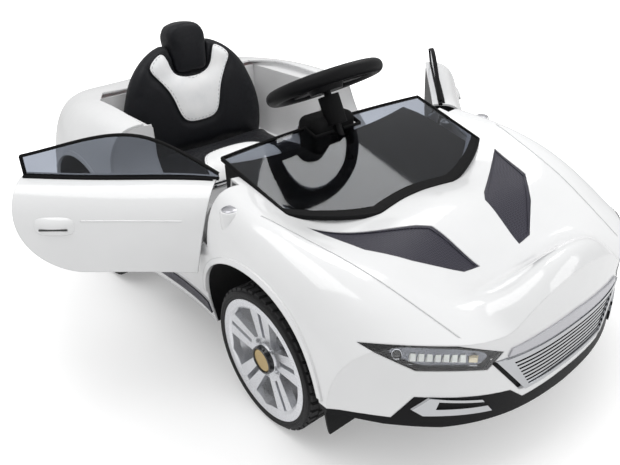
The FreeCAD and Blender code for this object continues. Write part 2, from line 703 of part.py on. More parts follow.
def make_chassis():
    pan = LINED.common(box(TAIL_X - 40, PAN_FRONT_X, -SIDE_FAR, SIDE_FAR, SILL_Z, PAN_TOP))
    pan = pan.cut(both(box(FRONT_AXLE_X, PAN_FRONT_X + 1, -SIDE_FAR, -PAN_FRONT_HALF, 0, 200)))
    for x, y0 in ((FRONT_AXLE_X, FRONT_WELL_Y), (REAR_AXLE_X, REAR_WELL_Y)):
        pan = pan.cut(both(box(x - ARCH_RADIUS, x + ARCH_RADIUS, -SIDE_FAR, -y0, 0, 200)))
    ear = box(REAR_AXLE_X - 9, REAR_AXLE_X + 9, -126, -114, PAN_TOP - 1, AXLE_Z + 12)
    ear = ear.cut(cylinder_y(REAR_AXLE_X, AXLE_Z, AXLE_RADIUS, -200, -100))
    keep("floor_pan", largest(pan.fuse(both(ear)).removeSplitter()))
    keep("rear_axle", cylinder_y(REAR_AXLE_X, AXLE_Z, AXLE_RADIUS, -TRACK_OUTER + 7, TRACK_OUTER - 7))
    end = REAR_WELL_Y - 0.6
    case = box(REAR_AXLE_X - 36, REAR_AXLE_X + 62, -end, -GEARBOX_Y0, PAN_TOP, SEAT_BASE_Z - 8)
    case = case.makeFillet(8, [e for e in case.Edges if abs(e.tangentAt(e.FirstParameter).y) > 0.9])
    case = case.cut(cylinder_y(REAR_AXLE_X, AXLE_Z, AXLE_RADIUS + FIT_GAP, -300, 0))
    keep("gearboxes", Part.makeCompound(both(case)))
    motor = cylinder_y(REAR_AXLE_X + 34, AXLE_Z + 8, 17, -GEARBOX_Y0, -GEARBOX_Y0 + 58)
    motor = motor.fuse(cylinder_y(REAR_AXLE_X + 34, AXLE_Z + 8, 6, -GEARBOX_Y0 + 58, -GEARBOX_Y0 + 62))
    keep("drive_motors", Part.makeCompound(both(motor)))
    battery = box(FRONT_AXLE_X + 38, FRONT_AXLE_X + 138, -75, 75, PAN_TOP, PAN_TOP + 94)
    keep("battery", battery.makeFillet(4, battery.Edges))


def make_wheel_wells():
    inner = ARCH_RADIUS + 0.6
    outer = inner + WELL_WALL
    for name, x, y0 in (("front", FRONT_AXLE_X, FRONT_WELL_Y), ("rear", REAR_AXLE_X, REAR_WELL_Y)):
        side = -y0 - WELL_WALL
        tube = cylinder_y(x, AXLE_Z, outer, -SIDE_FAR, -y0).cut(cylinder_y(x, AXLE_Z, inner, -SIDE_FAR, side))
        legs = box(x - outer, x + outer, -SIDE_FAR, -y0, 0, AXLE_Z)
        legs = legs.cut(box(x - inner, x + inner, -SIDE_FAR, side, -1, AXLE_Z))
        well = tube.cut(box(x - 200, x + 200, -SIDE_FAR, 0, 0, AXLE_Z)).fuse(legs)
        well = well.common(LINED).cut(box(x - 200, x + 200, -SIDE_FAR, 0, 0, PAN_TOP))
        if x == FRONT_AXLE_X:
            well = well.cut(box(x - 112, x + 30, -y0 - 10, 0, 0, BEAM_HIGH + 12))
        else:
            well = well.cut(cylinder_y(x, AXLE_Z, HUB_RADIUS + 3, -y0 - 10, 0))
        keep(name + "_wheel_wells", Part.makeCompound(both(largest(well))))


# Cockpit fittings
SOCKET_X = -222.0
SOCKET_Y = -168.0
SOCKET_RADIUS = 9.0
SOCKET_BORE = 4.0
SOCKET_DEPTH = 16.0
PEDAL_X = 80.0
PEDAL_Y = -70.0
PEDAL_Z = 100.0
PEDAL_HALF = 30.0
PEDAL_PIN_RADIUS = 3.0
PEDAL_LENGTH = 54.0
PEDAL_LEAN_DEG = 20.0
ROCKER_Y = (105.0, 140.0)
ROCKER_Z = 256.0
ROCKER_HALF = 8.0
DASH_REAR_X = 40.0
DASH_WALL = 6.0
BINNACLE_HALF = 44.0
BINNACLE_FRONT = 36.0
COLUMN_RADIUS = 17.0


def make_fittings():
    mouth = SEAT_BASE_Z + 3
    socket = cylinder_z(SOCKET_X, SOCKET_Y, SOCKET_RADIUS, mouth - SOCKET_DEPTH - 3, SEAT_BASE_Z)
    socket = socket.fuse(cylinder_z(SOCKET_X, SOCKET_Y, SOCKET_RADIUS + 5, SEAT_BASE_Z, mouth))
    bore = cylinder_z(SOCKET_X, SOCKET_Y, SOCKET_BORE, mouth - SOCKET_DEPTH, mouth + 1)
    keep("charging_socket", socket.cut(bore))
    plate = box(-3, 3, -PEDAL_HALF, PEDAL_HALF, 4, PEDAL_LENGTH)
    plate = plate.makeFillet(2.5, plate.Edges)
    for i in range(4):
        plate = plate.fuse(box(-5, -2, -PEDAL_HALF + 6, PEDAL_HALF - 6, 16 + 9 * i, 19 + 9 * i))
    eye = cylinder_y(0, 0, 7, -PEDAL_HALF, PEDAL_HALF)
    pedal = plate.fuse(eye).cut(cylinder_y(0, 0, PEDAL_PIN_RADIUS + RUNNING_GAP, -100, 100))
    pedal.rotate(V(0, 0, 0), V(0, 1, 0), PEDAL_LEAN_DEG)
    pedal.translate(V(PEDAL_X, PEDAL_Y, PEDAL_Z))
    keep("pedal", pedal)


def make_pivot_pins():
    """Plain steel pins of the doors, the steering knuckles and the pedal."""
    door = cylinder_z(HINGE_X, -HINGE_Y, HINGE_PIN_RADIUS, HINGE_LOW_Z - 26, HINGE_TOP_Z - 6)
    top = BEAM_HIGH + BEAM_PLATE
    king = cylinder_z(FRONT_AXLE_X, -KINGPIN_Y, KINGPIN_RADIUS, BEAM_LOW - 3, top + 4)
    king = king.fuse(cylinder_z(FRONT_AXLE_X, -KINGPIN_Y, KINGPIN_RADIUS + 3, top, top + 4))
    pedal = cylinder_y(PEDAL_X, PEDAL_Z, PEDAL_PIN_RADIUS, PEDAL_Y - PEDAL_HALF - 6, PEDAL_Y + PEDAL_HALF + 6)
    keep("pivot_pins", Part.makeCompound(both(door) + both(king) + [pedal]))


def make_dashboard():
    low = WALL_TOP_Z + 0.3
    half = COCKPIT_HALF - 16
    dash = body_form(9.0).common(box(DASH_REAR_X, COWL_X - 16, -half, half, low, 400))
    plan = cockpit_prism()
    dash = dash.common(plan)
    plan.translate(V(-DASH_WALL, 0, 0))
    half = half - DASH_WALL
    hollow = body_form(9.0 + DASH_WALL).common(box(DASH_REAR_X + 24, COWL_X, -half, half, low - 1, 400))
    dash = dash.cut(hollow.common(plan))
    high = STEER_Z - 46
    side = BINNACLE_HALF
    hood = box(DASH_REAR_X - 14, DASH_REAR_X + BINNACLE_FRONT, -side, side, BELT_Z - 60, high)
    hood = hood.makeFillet(14, [e for e in hood.Edges if e.BoundBox.ZMax > high - 1])
    column = tilted(cylinder_z(0, 0, COLUMN_RADIUS, -66, -20))
    dash = dash.fuse([hood, column]).cut(shaft_axis_hole(SHAFT_RADIUS + 2))
    dash = dash.cut(both(wheel_cuts(ARCH_RADIUS + WELL_WALL + 1.4, FRONT_WELL_Y - 0.8)[0]))
    for y in ROCKER_Y:
        half = ROCKER_HALF + 0.4
        pocket = box(DASH_REAR_X - 1, DASH_REAR_X + 16, y - half, y + half, ROCKER_Z - 15, ROCKER_Z + 15)
        pivot = cylinder_y(DASH_REAR_X + 7, ROCKER_Z, 2 + RUNNING_GAP, y - half - 3.6, y + half + 3.6)
        dash = dash.cut([pocket, pivot])
    keep("dashboard", largest(dash))
    for name, y in zip(("power_switch", "direction_switch"), ROCKER_Y):
        half = ROCKER_HALF
        rocker = box(DASH_REAR_X - 3, DASH_REAR_X + 12, y - half, y + half, ROCKER_Z - 11, ROCKER_Z + 11)
        pivot = cylinder_y(DASH_REAR_X + 7, ROCKER_Z, 2, y - ROCKER_HALF - 3.4, y + ROCKER_HALF + 3.4)
        groove = cylinder_y(DASH_REAR_X - 20, ROCKER_Z, 19.5, y - ROCKER_HALF - 1, y + ROCKER_HALF + 1)
        keep(name, rocker.cut(groove).fuse(pivot))


# Seat: each pad is a loft through drawn-in outlines, fullest at mid height
PAD_LEVELS = ((0.0, 5.0), (0.3, 0.0), (0.68, 3.0), (0.9, 15.0), (1.0, 44.0))
BACK_LEAN_DEG = 5.0
DRAW_IN = 4.0


def cushion_outline(x0, x1, half, z):
    """Four corners joined by arcs that bow in between them."""
    corners = [V(x0, -half, z), V(x1, -half, z), V(x1, half, z), V(x0, half, z)]
    middle = V((x0 + x1) / 2, 0, z)
    edges = []
    for a, b in zip(corners, corners[1:] + corners[:1]):
        mid = (a + b) * 0.5
        edges.append(Part.Arc(a, mid + (middle - mid).normalize() * DRAW_IN, b).toShape())
    return Part.Wire(edges)


def back_outline(x, inset, points):
    """Upright outline of arcs from its right half: base, side, shoulder and top."""
    low, side, waist, shoulder, turn, top = points
    centre = (low[1] + top[1]) / 2

    def place(p, sign):
        pull = 1 - inset / 90.0
        return V(x, sign * p[0] * pull, centre + (p[1] - centre) * pull)

    right = [place(p, -1) for p in (low, side, waist, shoulder, turn)]
    left = [place(p, 1) for p in (low, side, waist, shoulder, turn)]
    edges = [
        Part.makeLine(left[0], right[0]),
        Part.Arc(right[0], right[1], right[2]).toShape(),
        Part.Arc(right[2], right[3], right[4]).toShape(),
        Part.Arc(right[4], place(top, -1), left[4]).toShape(),
        Part.Arc(left[4], left[3], left[2]).toShape(),
        Part.Arc(left[2], left[1], left[0]).toShape(),
    ]
    return Part.Wire(edges)


def back_pad(points, rear, depth, grow=0.0):
    levels = ((0.0, 6.0), (0.25, 0.0), (0.7, 0.0), (0.92, 5.0), (1.0, 16.0))
    return Part.makeLoft([back_outline(rear + depth * t, inset - grow, points) for t, inset in levels], True)


def leaned(shape):
    turned = shape.copy()
    turned.rotate(V(SEAT_BACK_X, 0, SEAT_BASE_Z), V(0, 1, 0), -BACK_LEAN_DEG)
    return turned


INSERT_HALF = 90.0
INSERT_DEPTH = 10.0


def make_seat():
    top = SEAT_BASE_Z + CUSHION_THICK
    front = SEAT_FRONT_X + 6
    sections = []
    for t, inset in PAD_LEVELS:
        z = SEAT_BASE_Z + CUSHION_THICK * t
        sections.append(cushion_outline(SEAT_BACK_X + 2 + inset, front - inset, SEAT_HALF - inset, z))
    cushion = Part.makeLoft(sections, True)
    rear_x = SEAT_FRONT_X - 82

    def insert_prism(shrink):
        rear_y = INSERT_HALF - 34 - shrink
        front_y = INSERT_HALF - shrink
        corners = [V(rear_x + shrink, -rear_y, 0), V(front + 9, -front_y, 0), V(front + 9, front_y, 0),
                   V(rear_x + shrink, rear_y, 0)]
        prism = polygon_face(corners).extrude(V(0, 0, top + 40))
        prism.translate(V(0, 0, SEAT_BASE_Z + INSERT_DEPTH + shrink))
        return prism

    keep("seat_cushion", largest(cushion.cut(insert_prism(0))))
    keep("seat_cushion_insert", largest(cushion.common(insert_prism(FIT_GAP))))
    depth = BACK_THICK
    rear = SEAT_BACK_X - depth
    base_z = SEAT_BASE_Z + FIT_GAP + depth * math.sin(math.radians(BACK_LEAN_DEG))
    back_points = [(146, base_z), (160, top + 46), (142, BACK_TOP_Z - 92), (112, BACK_TOP_Z - 42),
                   (62, BACK_TOP_Z - 8), (0, BACK_TOP_Z)]
    back = back_pad(back_points, rear, depth)
    high = HEADREST_TOP_Z
    head_points = [(34, BACK_TOP_Z - 62), (38, BACK_TOP_Z - 40), (41, high - 40), (39, high - 16),
                   (28, high - 4), (0, high)]
    head = back_pad(head_points, rear - 2, depth + 8)
    room = back_pad(head_points, rear - 2, depth + 8, 1.2)
    inset = [(0, BACK_TOP_Z - 70), (38, BACK_TOP_Z - 66), (56, BACK_TOP_Z - 12), (98, BACK_TOP_Z - 42),
             (58, top + 106), (42, top + 50), (0, top + 40)]
    face_x = SEAT_BACK_X - INSERT_DEPTH

    def panel_prism(shrink):
        points = [V(face_x, -y, z) for y, z in inset] + [V(face_x, y, z) for y, z in reversed(inset[1:-1])]
        face = polygon_face(points)
        if shrink:
            face = face.makeOffset2D(-shrink, join=2)
            face.translate(V(shrink, 0, 0))
        return face.extrude(V(40, 0, 0))

    keep("seat_back", leaned(largest(back.cut([panel_prism(0), room]))))
    keep("seat_back_insert", leaned(largest(back.common(panel_prism(FIT_GAP)).cut(room))))
    keep("headrest", leaned(head))


# Doors: modelled closed, then swung open about the hinge
def swung(shape):
    turned = shape.copy()
    turned.rotate(V(HINGE_X, -HINGE_Y, 0), V(0, 0, 1), DOOR_OPEN_DEG)
    return turned


WINDOW_Y = 222.0
LINER = 3.0
LINER_SETBACK = 28.0


def make_doors():
    area = door_prism(0, 0, -SIDE_FAR, -DOOR_INNER)
    panel = largest(SHELL.common(area))
    barrel = cylinder_z(HINGE_X, -HINGE_Y, HINGE_BARREL_RADIUS, HINGE_LOW_Z, HINGE_TOP_Z)
    arm = box(HINGE_X - 34, HINGE_X, -HINGE_Y - 7, -HINGE_Y + 7, HINGE_LOW_Z + 4, HINGE_TOP_Z - 6)
    core = door_prism(-1, -LINER_SETBACK, -SIDE_FAR, -DOOR_INNER - 1).common(LINED)
    hollow = door_prism(-1 - LINER, -LINER_SETBACK - LINER, -SIDE_FAR, -DOOR_INNER - 1 - LINER)
    hollow = hollow.common(body_form(WALL + FIT_GAP + LINER, SILL_Z - 12))
    root = box(HINGE_X - 34, HINGE_X - 14, -SIDE_FAR, -HINGE_Y + 7, HINGE_LOW_Z + 4, HINGE_TOP_Z - 6)
    panel = panel.fuse([barrel, arm, root.common(area).common(body_form(WALL / 2))])
    bore = cylinder_z(HINGE_X, -HINGE_Y, HINGE_PIN_RADIUS + RUNNING_GAP, 0, HINGE_TOP_Z - 5)
    dish = cylinder_z(HINGE_X, -HINGE_Y, HINGE_BARREL_RADIUS - 4, HINGE_TOP_Z - 3, HINGE_TOP_Z + 1)
    panel = panel.cut([bore, dish])
    room = box(HINGE_X - 36, HINGE_X + 20, -SIDE_FAR, -HINGE_Y + 9, HINGE_LOW_Z + 2, HINGE_TOP_Z - 4)
    liner = core.cut([hollow, room])
    keep("right_door_panel", swung(largest(panel)))
    keep("right_door_liner", swung(largest(liner)))
    base = BELT_Z - 20
    front = HINGE_X - 9
    high = BELT_Z + WINDOW_RISE
    top = [V(front, 0, BELT_Z + 8), V(HINGE_X - 42, 0, BELT_Z + 29), V(HINGE_X - 110, 0, high),
           V(HINGE_X - 214, 0, high - 8), V(DOOR_REAR_X + 2, 0, high - 26)]
    rear_low = V(DOOR_REAR_X + 6, 0, base)
    front_low = V(front, 0, base)
    low_edge = Part.makePolygon([top[-1], rear_low, front_low, top[0]])
    outline = Part.Wire([spline(top)] + low_edge.Edges)
    pane = Part.Face(outline).extrude(V(0, PANE, 0))
    pane.translate(V(0, -WINDOW_Y, 0))
    pane.rotate(V(0, -WINDOW_Y, BELT_Z), V(1, 0, 0), -8)
    keep("right_door_window", swung(largest(pane.cut(PROUD))))
    for piece in ("panel", "liner", "window"):
        keep("left_door_" + piece, mirrored(SHAPES["right_door_" + piece]))


def main():
    make_body_shell()
    make_bumpers()
    make_nose()
    make_lamps()
    make_vents()
    make_skirts()
    make_windscreen()
    make_tub()
    make_seat_box()
    make_door_frames()
    make_steering()
    make_front_axle()
    make_wheel("front", FRONT_AXLE_X, TRACK_OUTER - KINGPIN_Y - HUB_SETBACK)
    make_wheel("rear", REAR_AXLE_X, TRACK_OUTER - REAR_WELL_Y)
    make_chassis()
    make_wheel_wells()
    make_fittings()
    make_pivot_pins()
    make_dashboard()
    make_seat()
    make_doors()
    os.makedirs("parts", exist_ok=True)
    for name, shape in SHAPES.items():
        shape.exportStep(os.path.join("parts", name + ".step"))


main()
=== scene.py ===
import math

import bmesh
import bpy
import numpy as np
from mathutils import Matrix, Vector
from mathutils.bvhtree import BVHTree
from mathutils.geometry import delaunay_2d_cdt


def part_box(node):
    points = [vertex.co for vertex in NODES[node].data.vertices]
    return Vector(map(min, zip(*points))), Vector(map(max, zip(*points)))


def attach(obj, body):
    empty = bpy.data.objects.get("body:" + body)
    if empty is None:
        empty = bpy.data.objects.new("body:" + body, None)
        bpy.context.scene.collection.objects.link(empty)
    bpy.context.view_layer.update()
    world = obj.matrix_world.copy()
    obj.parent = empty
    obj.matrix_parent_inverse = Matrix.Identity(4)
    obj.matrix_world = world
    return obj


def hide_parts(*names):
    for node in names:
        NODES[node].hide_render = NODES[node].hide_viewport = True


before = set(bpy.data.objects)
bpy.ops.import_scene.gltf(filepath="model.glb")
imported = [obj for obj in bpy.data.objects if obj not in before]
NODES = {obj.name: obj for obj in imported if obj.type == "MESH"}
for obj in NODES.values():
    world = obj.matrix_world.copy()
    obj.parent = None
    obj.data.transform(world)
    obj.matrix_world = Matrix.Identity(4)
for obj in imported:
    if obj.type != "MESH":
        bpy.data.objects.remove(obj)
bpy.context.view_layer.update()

bl_info = {
    "name": "Electric ride-on car",
    "version": (1, 0, 0),
    "blender": (4, 5, 0),
    "location": "View3D > Sidebar > Car",
    "description": "Dresses the packed ride-on car with its seat, wheels, lamps, glazing and finishes",
    "category": "Object",
}

SIDES = (("right", -1), ("left", 1))
AXLES = (("front", 0.224), ("rear", -0.316))
WHEELS = [("%s_%s" % (end, side), x, sign) for end, x in AXLES for side, sign in SIDES]
AXLE_HEIGHT = 0.105
OUTER_FACE = 0.275
UP = Vector((0, 0, 1))
DOWN = Vector((0, 0, -1))
REARWARD = Vector((-1, 0, 0))
WELD = 1e-5
FINISHES = {}


# Settings

def number_prop(name, description, default, unit="NONE"):
    return bpy.props.FloatProperty(name=name, description=description, default=default, unit=unit)


def count_prop(name, description, default):
    return bpy.props.IntProperty(name=name, description=description, default=default)


def colour_prop(name, description, default):
    return bpy.props.FloatVectorProperty(name=name, description=description, default=default, subtype="COLOR")


class StageSettings(bpy.types.PropertyGroup):
    lens: number_prop("Lens", "Focal length for a sensor 36 mm wide", 36.973, "CAMERA")
    eye: bpy.props.FloatVectorProperty(
        name="Camera place", description="Where the camera stands", default=(0.802594, -0.631537, 0.669461),
        subtype="TRANSLATION")
    key_power: number_prop("Key light", "Power of the large soft light above", 17.5, "POWER")
    fill_power: number_prop("Fill light", "Power of the soft light at the front", 9.0, "POWER")
    panel_power: number_prop("Panel light", "Power of the light panel that the visor mirrors", 3.0, "POWER")
    ambient: number_prop("Ambient", "Strength of the even light from all sides", 0.62)
    floor_lift: number_prop("Floor lift", "Glow of the floor near the car", 0.17)


class FinishSettings(bpy.types.PropertyGroup):
    body: colour_prop("Body", "Gloss body colour", (0.84, 0.845, 0.85))
    interior: colour_prop("Interior", "Satin interior colour", (0.78, 0.78, 0.785))
    plastic: colour_prop("Black plastic", "Moulded black parts", (0.007, 0.007, 0.008))
    carbon: colour_prop("Weave", "Light thread of the woven trim", (0.062, 0.060, 0.080))
    leather: colour_prop("Seat", "Black leatherette", (0.004, 0.0045, 0.007))
    insert: colour_prop("Seat insert", "Light leatherette", (0.97, 0.98, 0.99))
    cap: colour_prop("Wheel cap", "Gold cap colour", (0.62, 0.46, 0.22))
    smoke: colour_prop("Smoked sheet", "Tint of visor and windows", (0.24, 0.26, 0.30))


class SeatSettings(bpy.types.PropertyGroup):
    voxel: number_prop("Grain of the pad", "Edge length of the cloth mesh", 0.005, "LENGTH")
    swell: number_prop("Swell", "Furthest that the cover moves when the pad fills", 0.007, "LENGTH")
    pressure: number_prop("Pressure", "Pressure inside the pad", 4.0)
    seam: number_prop("Seam depth", "How far a sewn seam draws the pad in", 0.003, "LENGTH")
    stitch: number_prop("Stitch length", "Length of one stitch", 0.006, "LENGTH")


class WheelSettings(bpy.types.PropertyGroup):
    blocks: count_prop("Tread blocks", "Blocks in one row of the tread", 44)
    tread: number_prop("Tread depth", "Height of a tread block", 0.0035, "LENGTH")
    bolts: count_prop("Bolts", "Bolts round the hub", 5)


class TrimSettings(bpy.types.PropertyGroup):
    gasket: number_prop("Gasket", "Radius of the black edge of visor and windows", 0.0022, "LENGTH")
    screw: number_prop("Screw head", "Radius of a screw head", 0.0042, "LENGTH")
    leds: count_prop("Lamp blocks", "Light blocks in one headlight", 7)


# Pieces

def painted(mesh, finish):
    mesh.materials.clear()
    mesh.materials.append(FINISHES[finish])


def link(name, mesh):
    obj = bpy.data.objects.new(name, mesh)
    bpy.context.scene.collection.objects.link(obj)
    return obj


def piece(name, mesh, finish, body, slot, *nodes):
    """A finished piece: painted, linked, riding on its body, standing for the nodes that it covers."""
    painted(mesh, finish)
    obj = link(name, mesh)
    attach(obj, body)
    if nodes:
        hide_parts(*nodes)
    return obj


def both_sides(name, mesh, finish, slot):
    """A chassis piece made of a mesh and its mirror image."""
    piece(name, joined(name, [mesh, mirrored(mesh, name)]), finish, "chassis", slot)


# Mesh helpers

def smoothed(mesh, angle=0.6):
    for face in mesh.polygons:
        face.use_smooth = True
    mesh.set_sharp_from_angle(angle=angle)
    return mesh


def to_mesh(bm, name, angle=0.6):
    mesh = bpy.data.meshes.new(name)
    bm.to_mesh(mesh)
    bm.free()
    return smoothed(mesh, angle)


def clean(bm):
    bmesh.ops.remove_doubles(bm, verts=bm.verts, dist=WELD)
    bmesh.ops.recalc_face_normals(bm, faces=bm.faces)


def joined(name, meshes):
    bm = bmesh.new()
    for mesh in meshes:
        bm.from_mesh(mesh)
    return to_mesh(bm, name)


def seated(mesh, place):
    """Moves a mesh into place and keeps its faces right way out."""
    if place.determinant() < 0:
        mesh.flip_normals()
    mesh.transform(place)
    return mesh


def mirrored(mesh, name):
    """Copy on the other side of the car, with its faces right way out."""
    copy = mesh.copy()
    copy.name = name
    return seated(copy, Matrix.Diagonal((1, -1, 1, 1)))


def merged_copy(*names):
    """One welded bmesh of CAD nodes, for measuring and for the pads."""
    bm = bmesh.new()
    for name in names:
        bm.from_mesh(NODES[name].data)
    bmesh.ops.remove_doubles(bm, verts=bm.verts, dist=WELD)
    return bm


def tree_of(obj):
    """Search tree of an object's faces."""
    bm = bmesh.new()
    bm.from_mesh(obj.data)
    tree = BVHTree.FromBMesh(bm)
    bm.free()
    return tree


def eased(bm, verts, passes):
    for i in range(passes):
        bmesh.ops.smooth_vert(bm, verts=verts, factor=0.5, use_axis_x=True, use_axis_y=True, use_axis_z=True)


def turned_to(bm, aim):
    """Turns all faces of an open sheet if most of them look away from the aim."""
    bm.normal_update()
    if sum(face.normal.dot(aim) for face in bm.faces) < 0:
        bmesh.ops.reverse_faces(bm, faces=bm.faces)


def bridged(bm, rings):
    """Faces from each ring of vertices to the next."""
    for a, b in zip(rings, rings[1:]):
        for k in range(len(a)):
            m = (k + 1) % len(a)
            bm.faces.new([a[k], a[m], b[m], b[k]])


def lathe(name, profile, segments, place, angle=0.6):
    """Closed ring of (radius, depth) points turned about the Y axis, then put in place."""
    bm = bmesh.new()
    rings = []
    for i in range(segments):
        t = math.tau * i / segments
        rings.append([bm.verts.new((r * math.sin(t), y, r * math.cos(t))) for r, y in profile])
    bridged(bm, rings + rings[:1])
    clean(bm)
    bm.transform(place)
    if place.determinant() < 0:
        bmesh.ops.reverse_faces(bm, faces=bm.faces)
    return to_mesh(bm, name, angle)


def sharp_paths(node, angle=0.7):
    """Closed or open runs of a CAD node's sharp edges, longest first."""
    bm = merged_copy(node)
    ways = {}
    for edge in bm.edges:
        if len(edge.link_faces) == 2 and edge.calc_face_angle(0) > angle:
            a, b = (vertex.index for vertex in edge.verts)
            ways.setdefault(a, []).append(b)
            ways.setdefault(b, []).append(a)
    bm.verts.ensure_lookup_table()
    spots = {i: bm.verts[i].co.copy() for i in ways}
    bm.free()
    paths, used = [], set()
    for start in sorted(ways, key=lambda i: len(ways[i]) == 2):
        for step in ways[start]:
            if (start, step) in used:
                continue
            run, a, b = [start, step], start, step
            used.update(((a, b), (b, a)))
            while len(ways[b]) == 2 and b != start:
                a, b = b, next((i for i in ways[b] if i != a), a)
                if (a, b) in used:
                    break
                used.update(((a, b), (b, a)))
                run.append(b)
            paths.append([spots[i] for i in run])
    return sorted(paths, key=lambda path: -sum((q - r).length for q, r in zip(path, path[1:])))


def facing(spot, out):
    """Place of a turned shape whose front looks along out."""
    back = -Vector(out).normalized()
    side = back.cross(UP if abs(back.z) < 0.9 else Vector((1, 0, 0))).normalized()
    turn = Matrix((side, back, side.cross(back))).transposed()
    return Matrix.Translation(spot) @ turn.to_4x4()


def laid_on(target, points, aim, lift=0.0):
    """Points dropped along the aim onto a surface, and raised from it."""
    spots = []
    for point in points:
        hit = target.ray_cast(point + aim * 0.2, -aim)[0]
        if hit is None:
            hit = target.find_nearest(point)[0]
        spots.append(hit + aim * lift)
    return spots


def wire(points, edges=()):
    """Mesh of points and loose edges, for the node trees."""
    mesh = bpy.data.meshes.new("wire")
    mesh.from_pydata([tuple(p) for p in points], list(edges), [])
    return smoothed(mesh)


def path_mesh(paths, closed=False):
    points, edges = [], []
    for path in paths:
        first = len(points)
        points += path
        edges += [(first + i, first + i + 1) for i in range(len(path) - 1)]
        if closed:
            edges.append((len(points) - 1, first))
    return wire(points, edges)


# Geometry node trees

class Graph:
    """Builder for a node tree. A node given as an input stands for its first output."""

    def __init__(self, graph):
        self.graph = graph

    def fill(self, made, inputs):
        for key, value in inputs.items():
            if isinstance(value, bpy.types.Node):
                value = value.outputs[0]
            if isinstance(value, bpy.types.NodeSocket):
                self.graph.links.new(value, made.inputs[key])
            else:
                made.inputs[key].default_value = value
        return made

    def node(self, kind, inputs=None, **settings):
        made = self.graph.nodes.new(kind)
        for key, value in settings.items():
            setattr(made, key, value)
        return self.fill(made, inputs or {})

    def calc(self, operation, *values):
        return self.node("ShaderNodeMath", dict(enumerate(values)), operation=operation)


class Tree(Graph):
    """Builder for a geometry node tree with named inputs."""

    def __init__(self, name):
        super().__init__(bpy.data.node_groups.new(name, "GeometryNodeTree"))
        for way in ("INPUT", "OUTPUT"):
            self.graph.interface.new_socket("Geometry", in_out=way, socket_type="NodeSocketGeometry")
        self.given = self.node("NodeGroupInput")
        self.out = self.node("NodeGroupOutput")

    @property
    def shape(self):
        return self.given.outputs["Geometry"]

    def input(self, name, kind, default=None):
        socket = self.graph.interface.new_socket(name, in_out="INPUT", socket_type="NodeSocket" + kind)
        if default is not None:
            socket.default_value = default
        return self.given.outputs[name]

    def line(self):
        return self.node("GeometryNodeMeshToCurve", {"Mesh": self.shape})

    def aligned(self, axis, inputs, **settings):
        return self.node("FunctionNodeAlignEulerToVector", inputs, axis=axis, **settings)

    def copies(self, points, shape, turn, **inputs):
        """Ends the tree with copies of a shape on points."""
        return self.end(self.node("GeometryNodeInstanceOnPoints", {
            "Points": points, "Instance": shape, "Rotation": turn, **inputs}))

    def end(self, geometry):
        material = self.input("Material", "Material")
        real = self.node("GeometryNodeRealizeInstances", {"Geometry": geometry})
        paint = self.node("GeometryNodeSetMaterial", {"Geometry": real, "Material": material})
        self.fill(self.out, {0: paint})
        return self.graph


def bead_tree():
    """A round bead along a path."""
    tree = Tree("Bead along a path")
    radius = tree.input("Radius", "Float", 0.002)
    spacing = tree.input("Spacing", "Float", 0.004)
    even = tree.node("GeometryNodeResampleCurve", {"Curve": tree.line(), "Length": spacing}, mode="LENGTH")
    ring = tree.node("GeometryNodeCurvePrimitiveCircle", {"Resolution": 8, "Radius": radius})
    tube = tree.node("GeometryNodeCurveToMesh", {"Curve": even, "Profile Curve": ring, "Fill Caps": True})
    return tree.end(tree.node("GeometryNodeSetShadeSmooth", {"Geometry": tube}))


def stitch_tree():
    """Short rounded threads laid end to end along a path."""
    tree = Tree("Stitches along a path")
    length = tree.input("Length", "Float", 0.006)
    radius = tree.input("Radius", "Float", 0.0007)
    step = tree.calc("MULTIPLY", length, 1.45)
    dots = tree.node("GeometryNodeCurveToPoints", {"Curve": tree.line(), "Length": step}, mode="LENGTH")
    half = tree.calc("MULTIPLY", length, 0.5)
    size = tree.node("ShaderNodeCombineXYZ", {"X": radius, "Y": radius, "Z": half})
    thread = tree.node("GeometryNodeMeshUVSphere", {"Segments": 6, "Rings": 5, "Radius": 1.0})
    return tree.copies(dots, thread, tree.aligned("Z", {"Vector": dots.outputs["Tangent"]}), Scale=size)


def ring_tree():
    """Copies of the given shape turned about the Y axis."""
    tree = Tree("Copies round an axle")
    count = tree.input("Count", "Int", 5)
    offset = tree.input("Offset", "Float", 0.0)
    sweep = tree.input("Sweep", "Float", math.tau)
    dots = tree.node("GeometryNodePoints", {"Count": count})
    share = tree.calc("DIVIDE", tree.node("GeometryNodeInputIndex"), count)
    angle = tree.calc("MULTIPLY_ADD", share, sweep, offset)
    return tree.copies(dots, tree.shape, tree.node("ShaderNodeCombineXYZ", {"Y": angle}))


def row_tree():
    """Tapered blocks at even steps along a path, with their tops towards one side."""
    tree = Tree("Blocks along a path")
    count = tree.input("Count", "Int", 7)
    size = tree.input("Size", "Vector", (0.004, 0.006, 0.003))
    top = tree.input("Top", "Vector", (0, 0, 1))
    even = tree.node("GeometryNodeResampleCurve", {"Curve": tree.line(), "Count": count}, mode="COUNT")
    along = tree.aligned("X", {"Vector": tree.node("GeometryNodeInputTangent")})
    turn = tree.aligned("Z", {"Rotation": along, "Vector": top}, pivot_axis="X")
    block = tree.node("GeometryNodeMeshCone", {
        "Vertices": 4, "Side Segments": 1, "Radius Top": 0.55, "Radius Bottom": 0.7071, "Depth": 1.0})
    square = tree.node("GeometryNodeTransform", {"Geometry": block, "Rotation": (0, 0, math.pi / 4)})
    return tree.copies(even, square, turn, Scale=size)


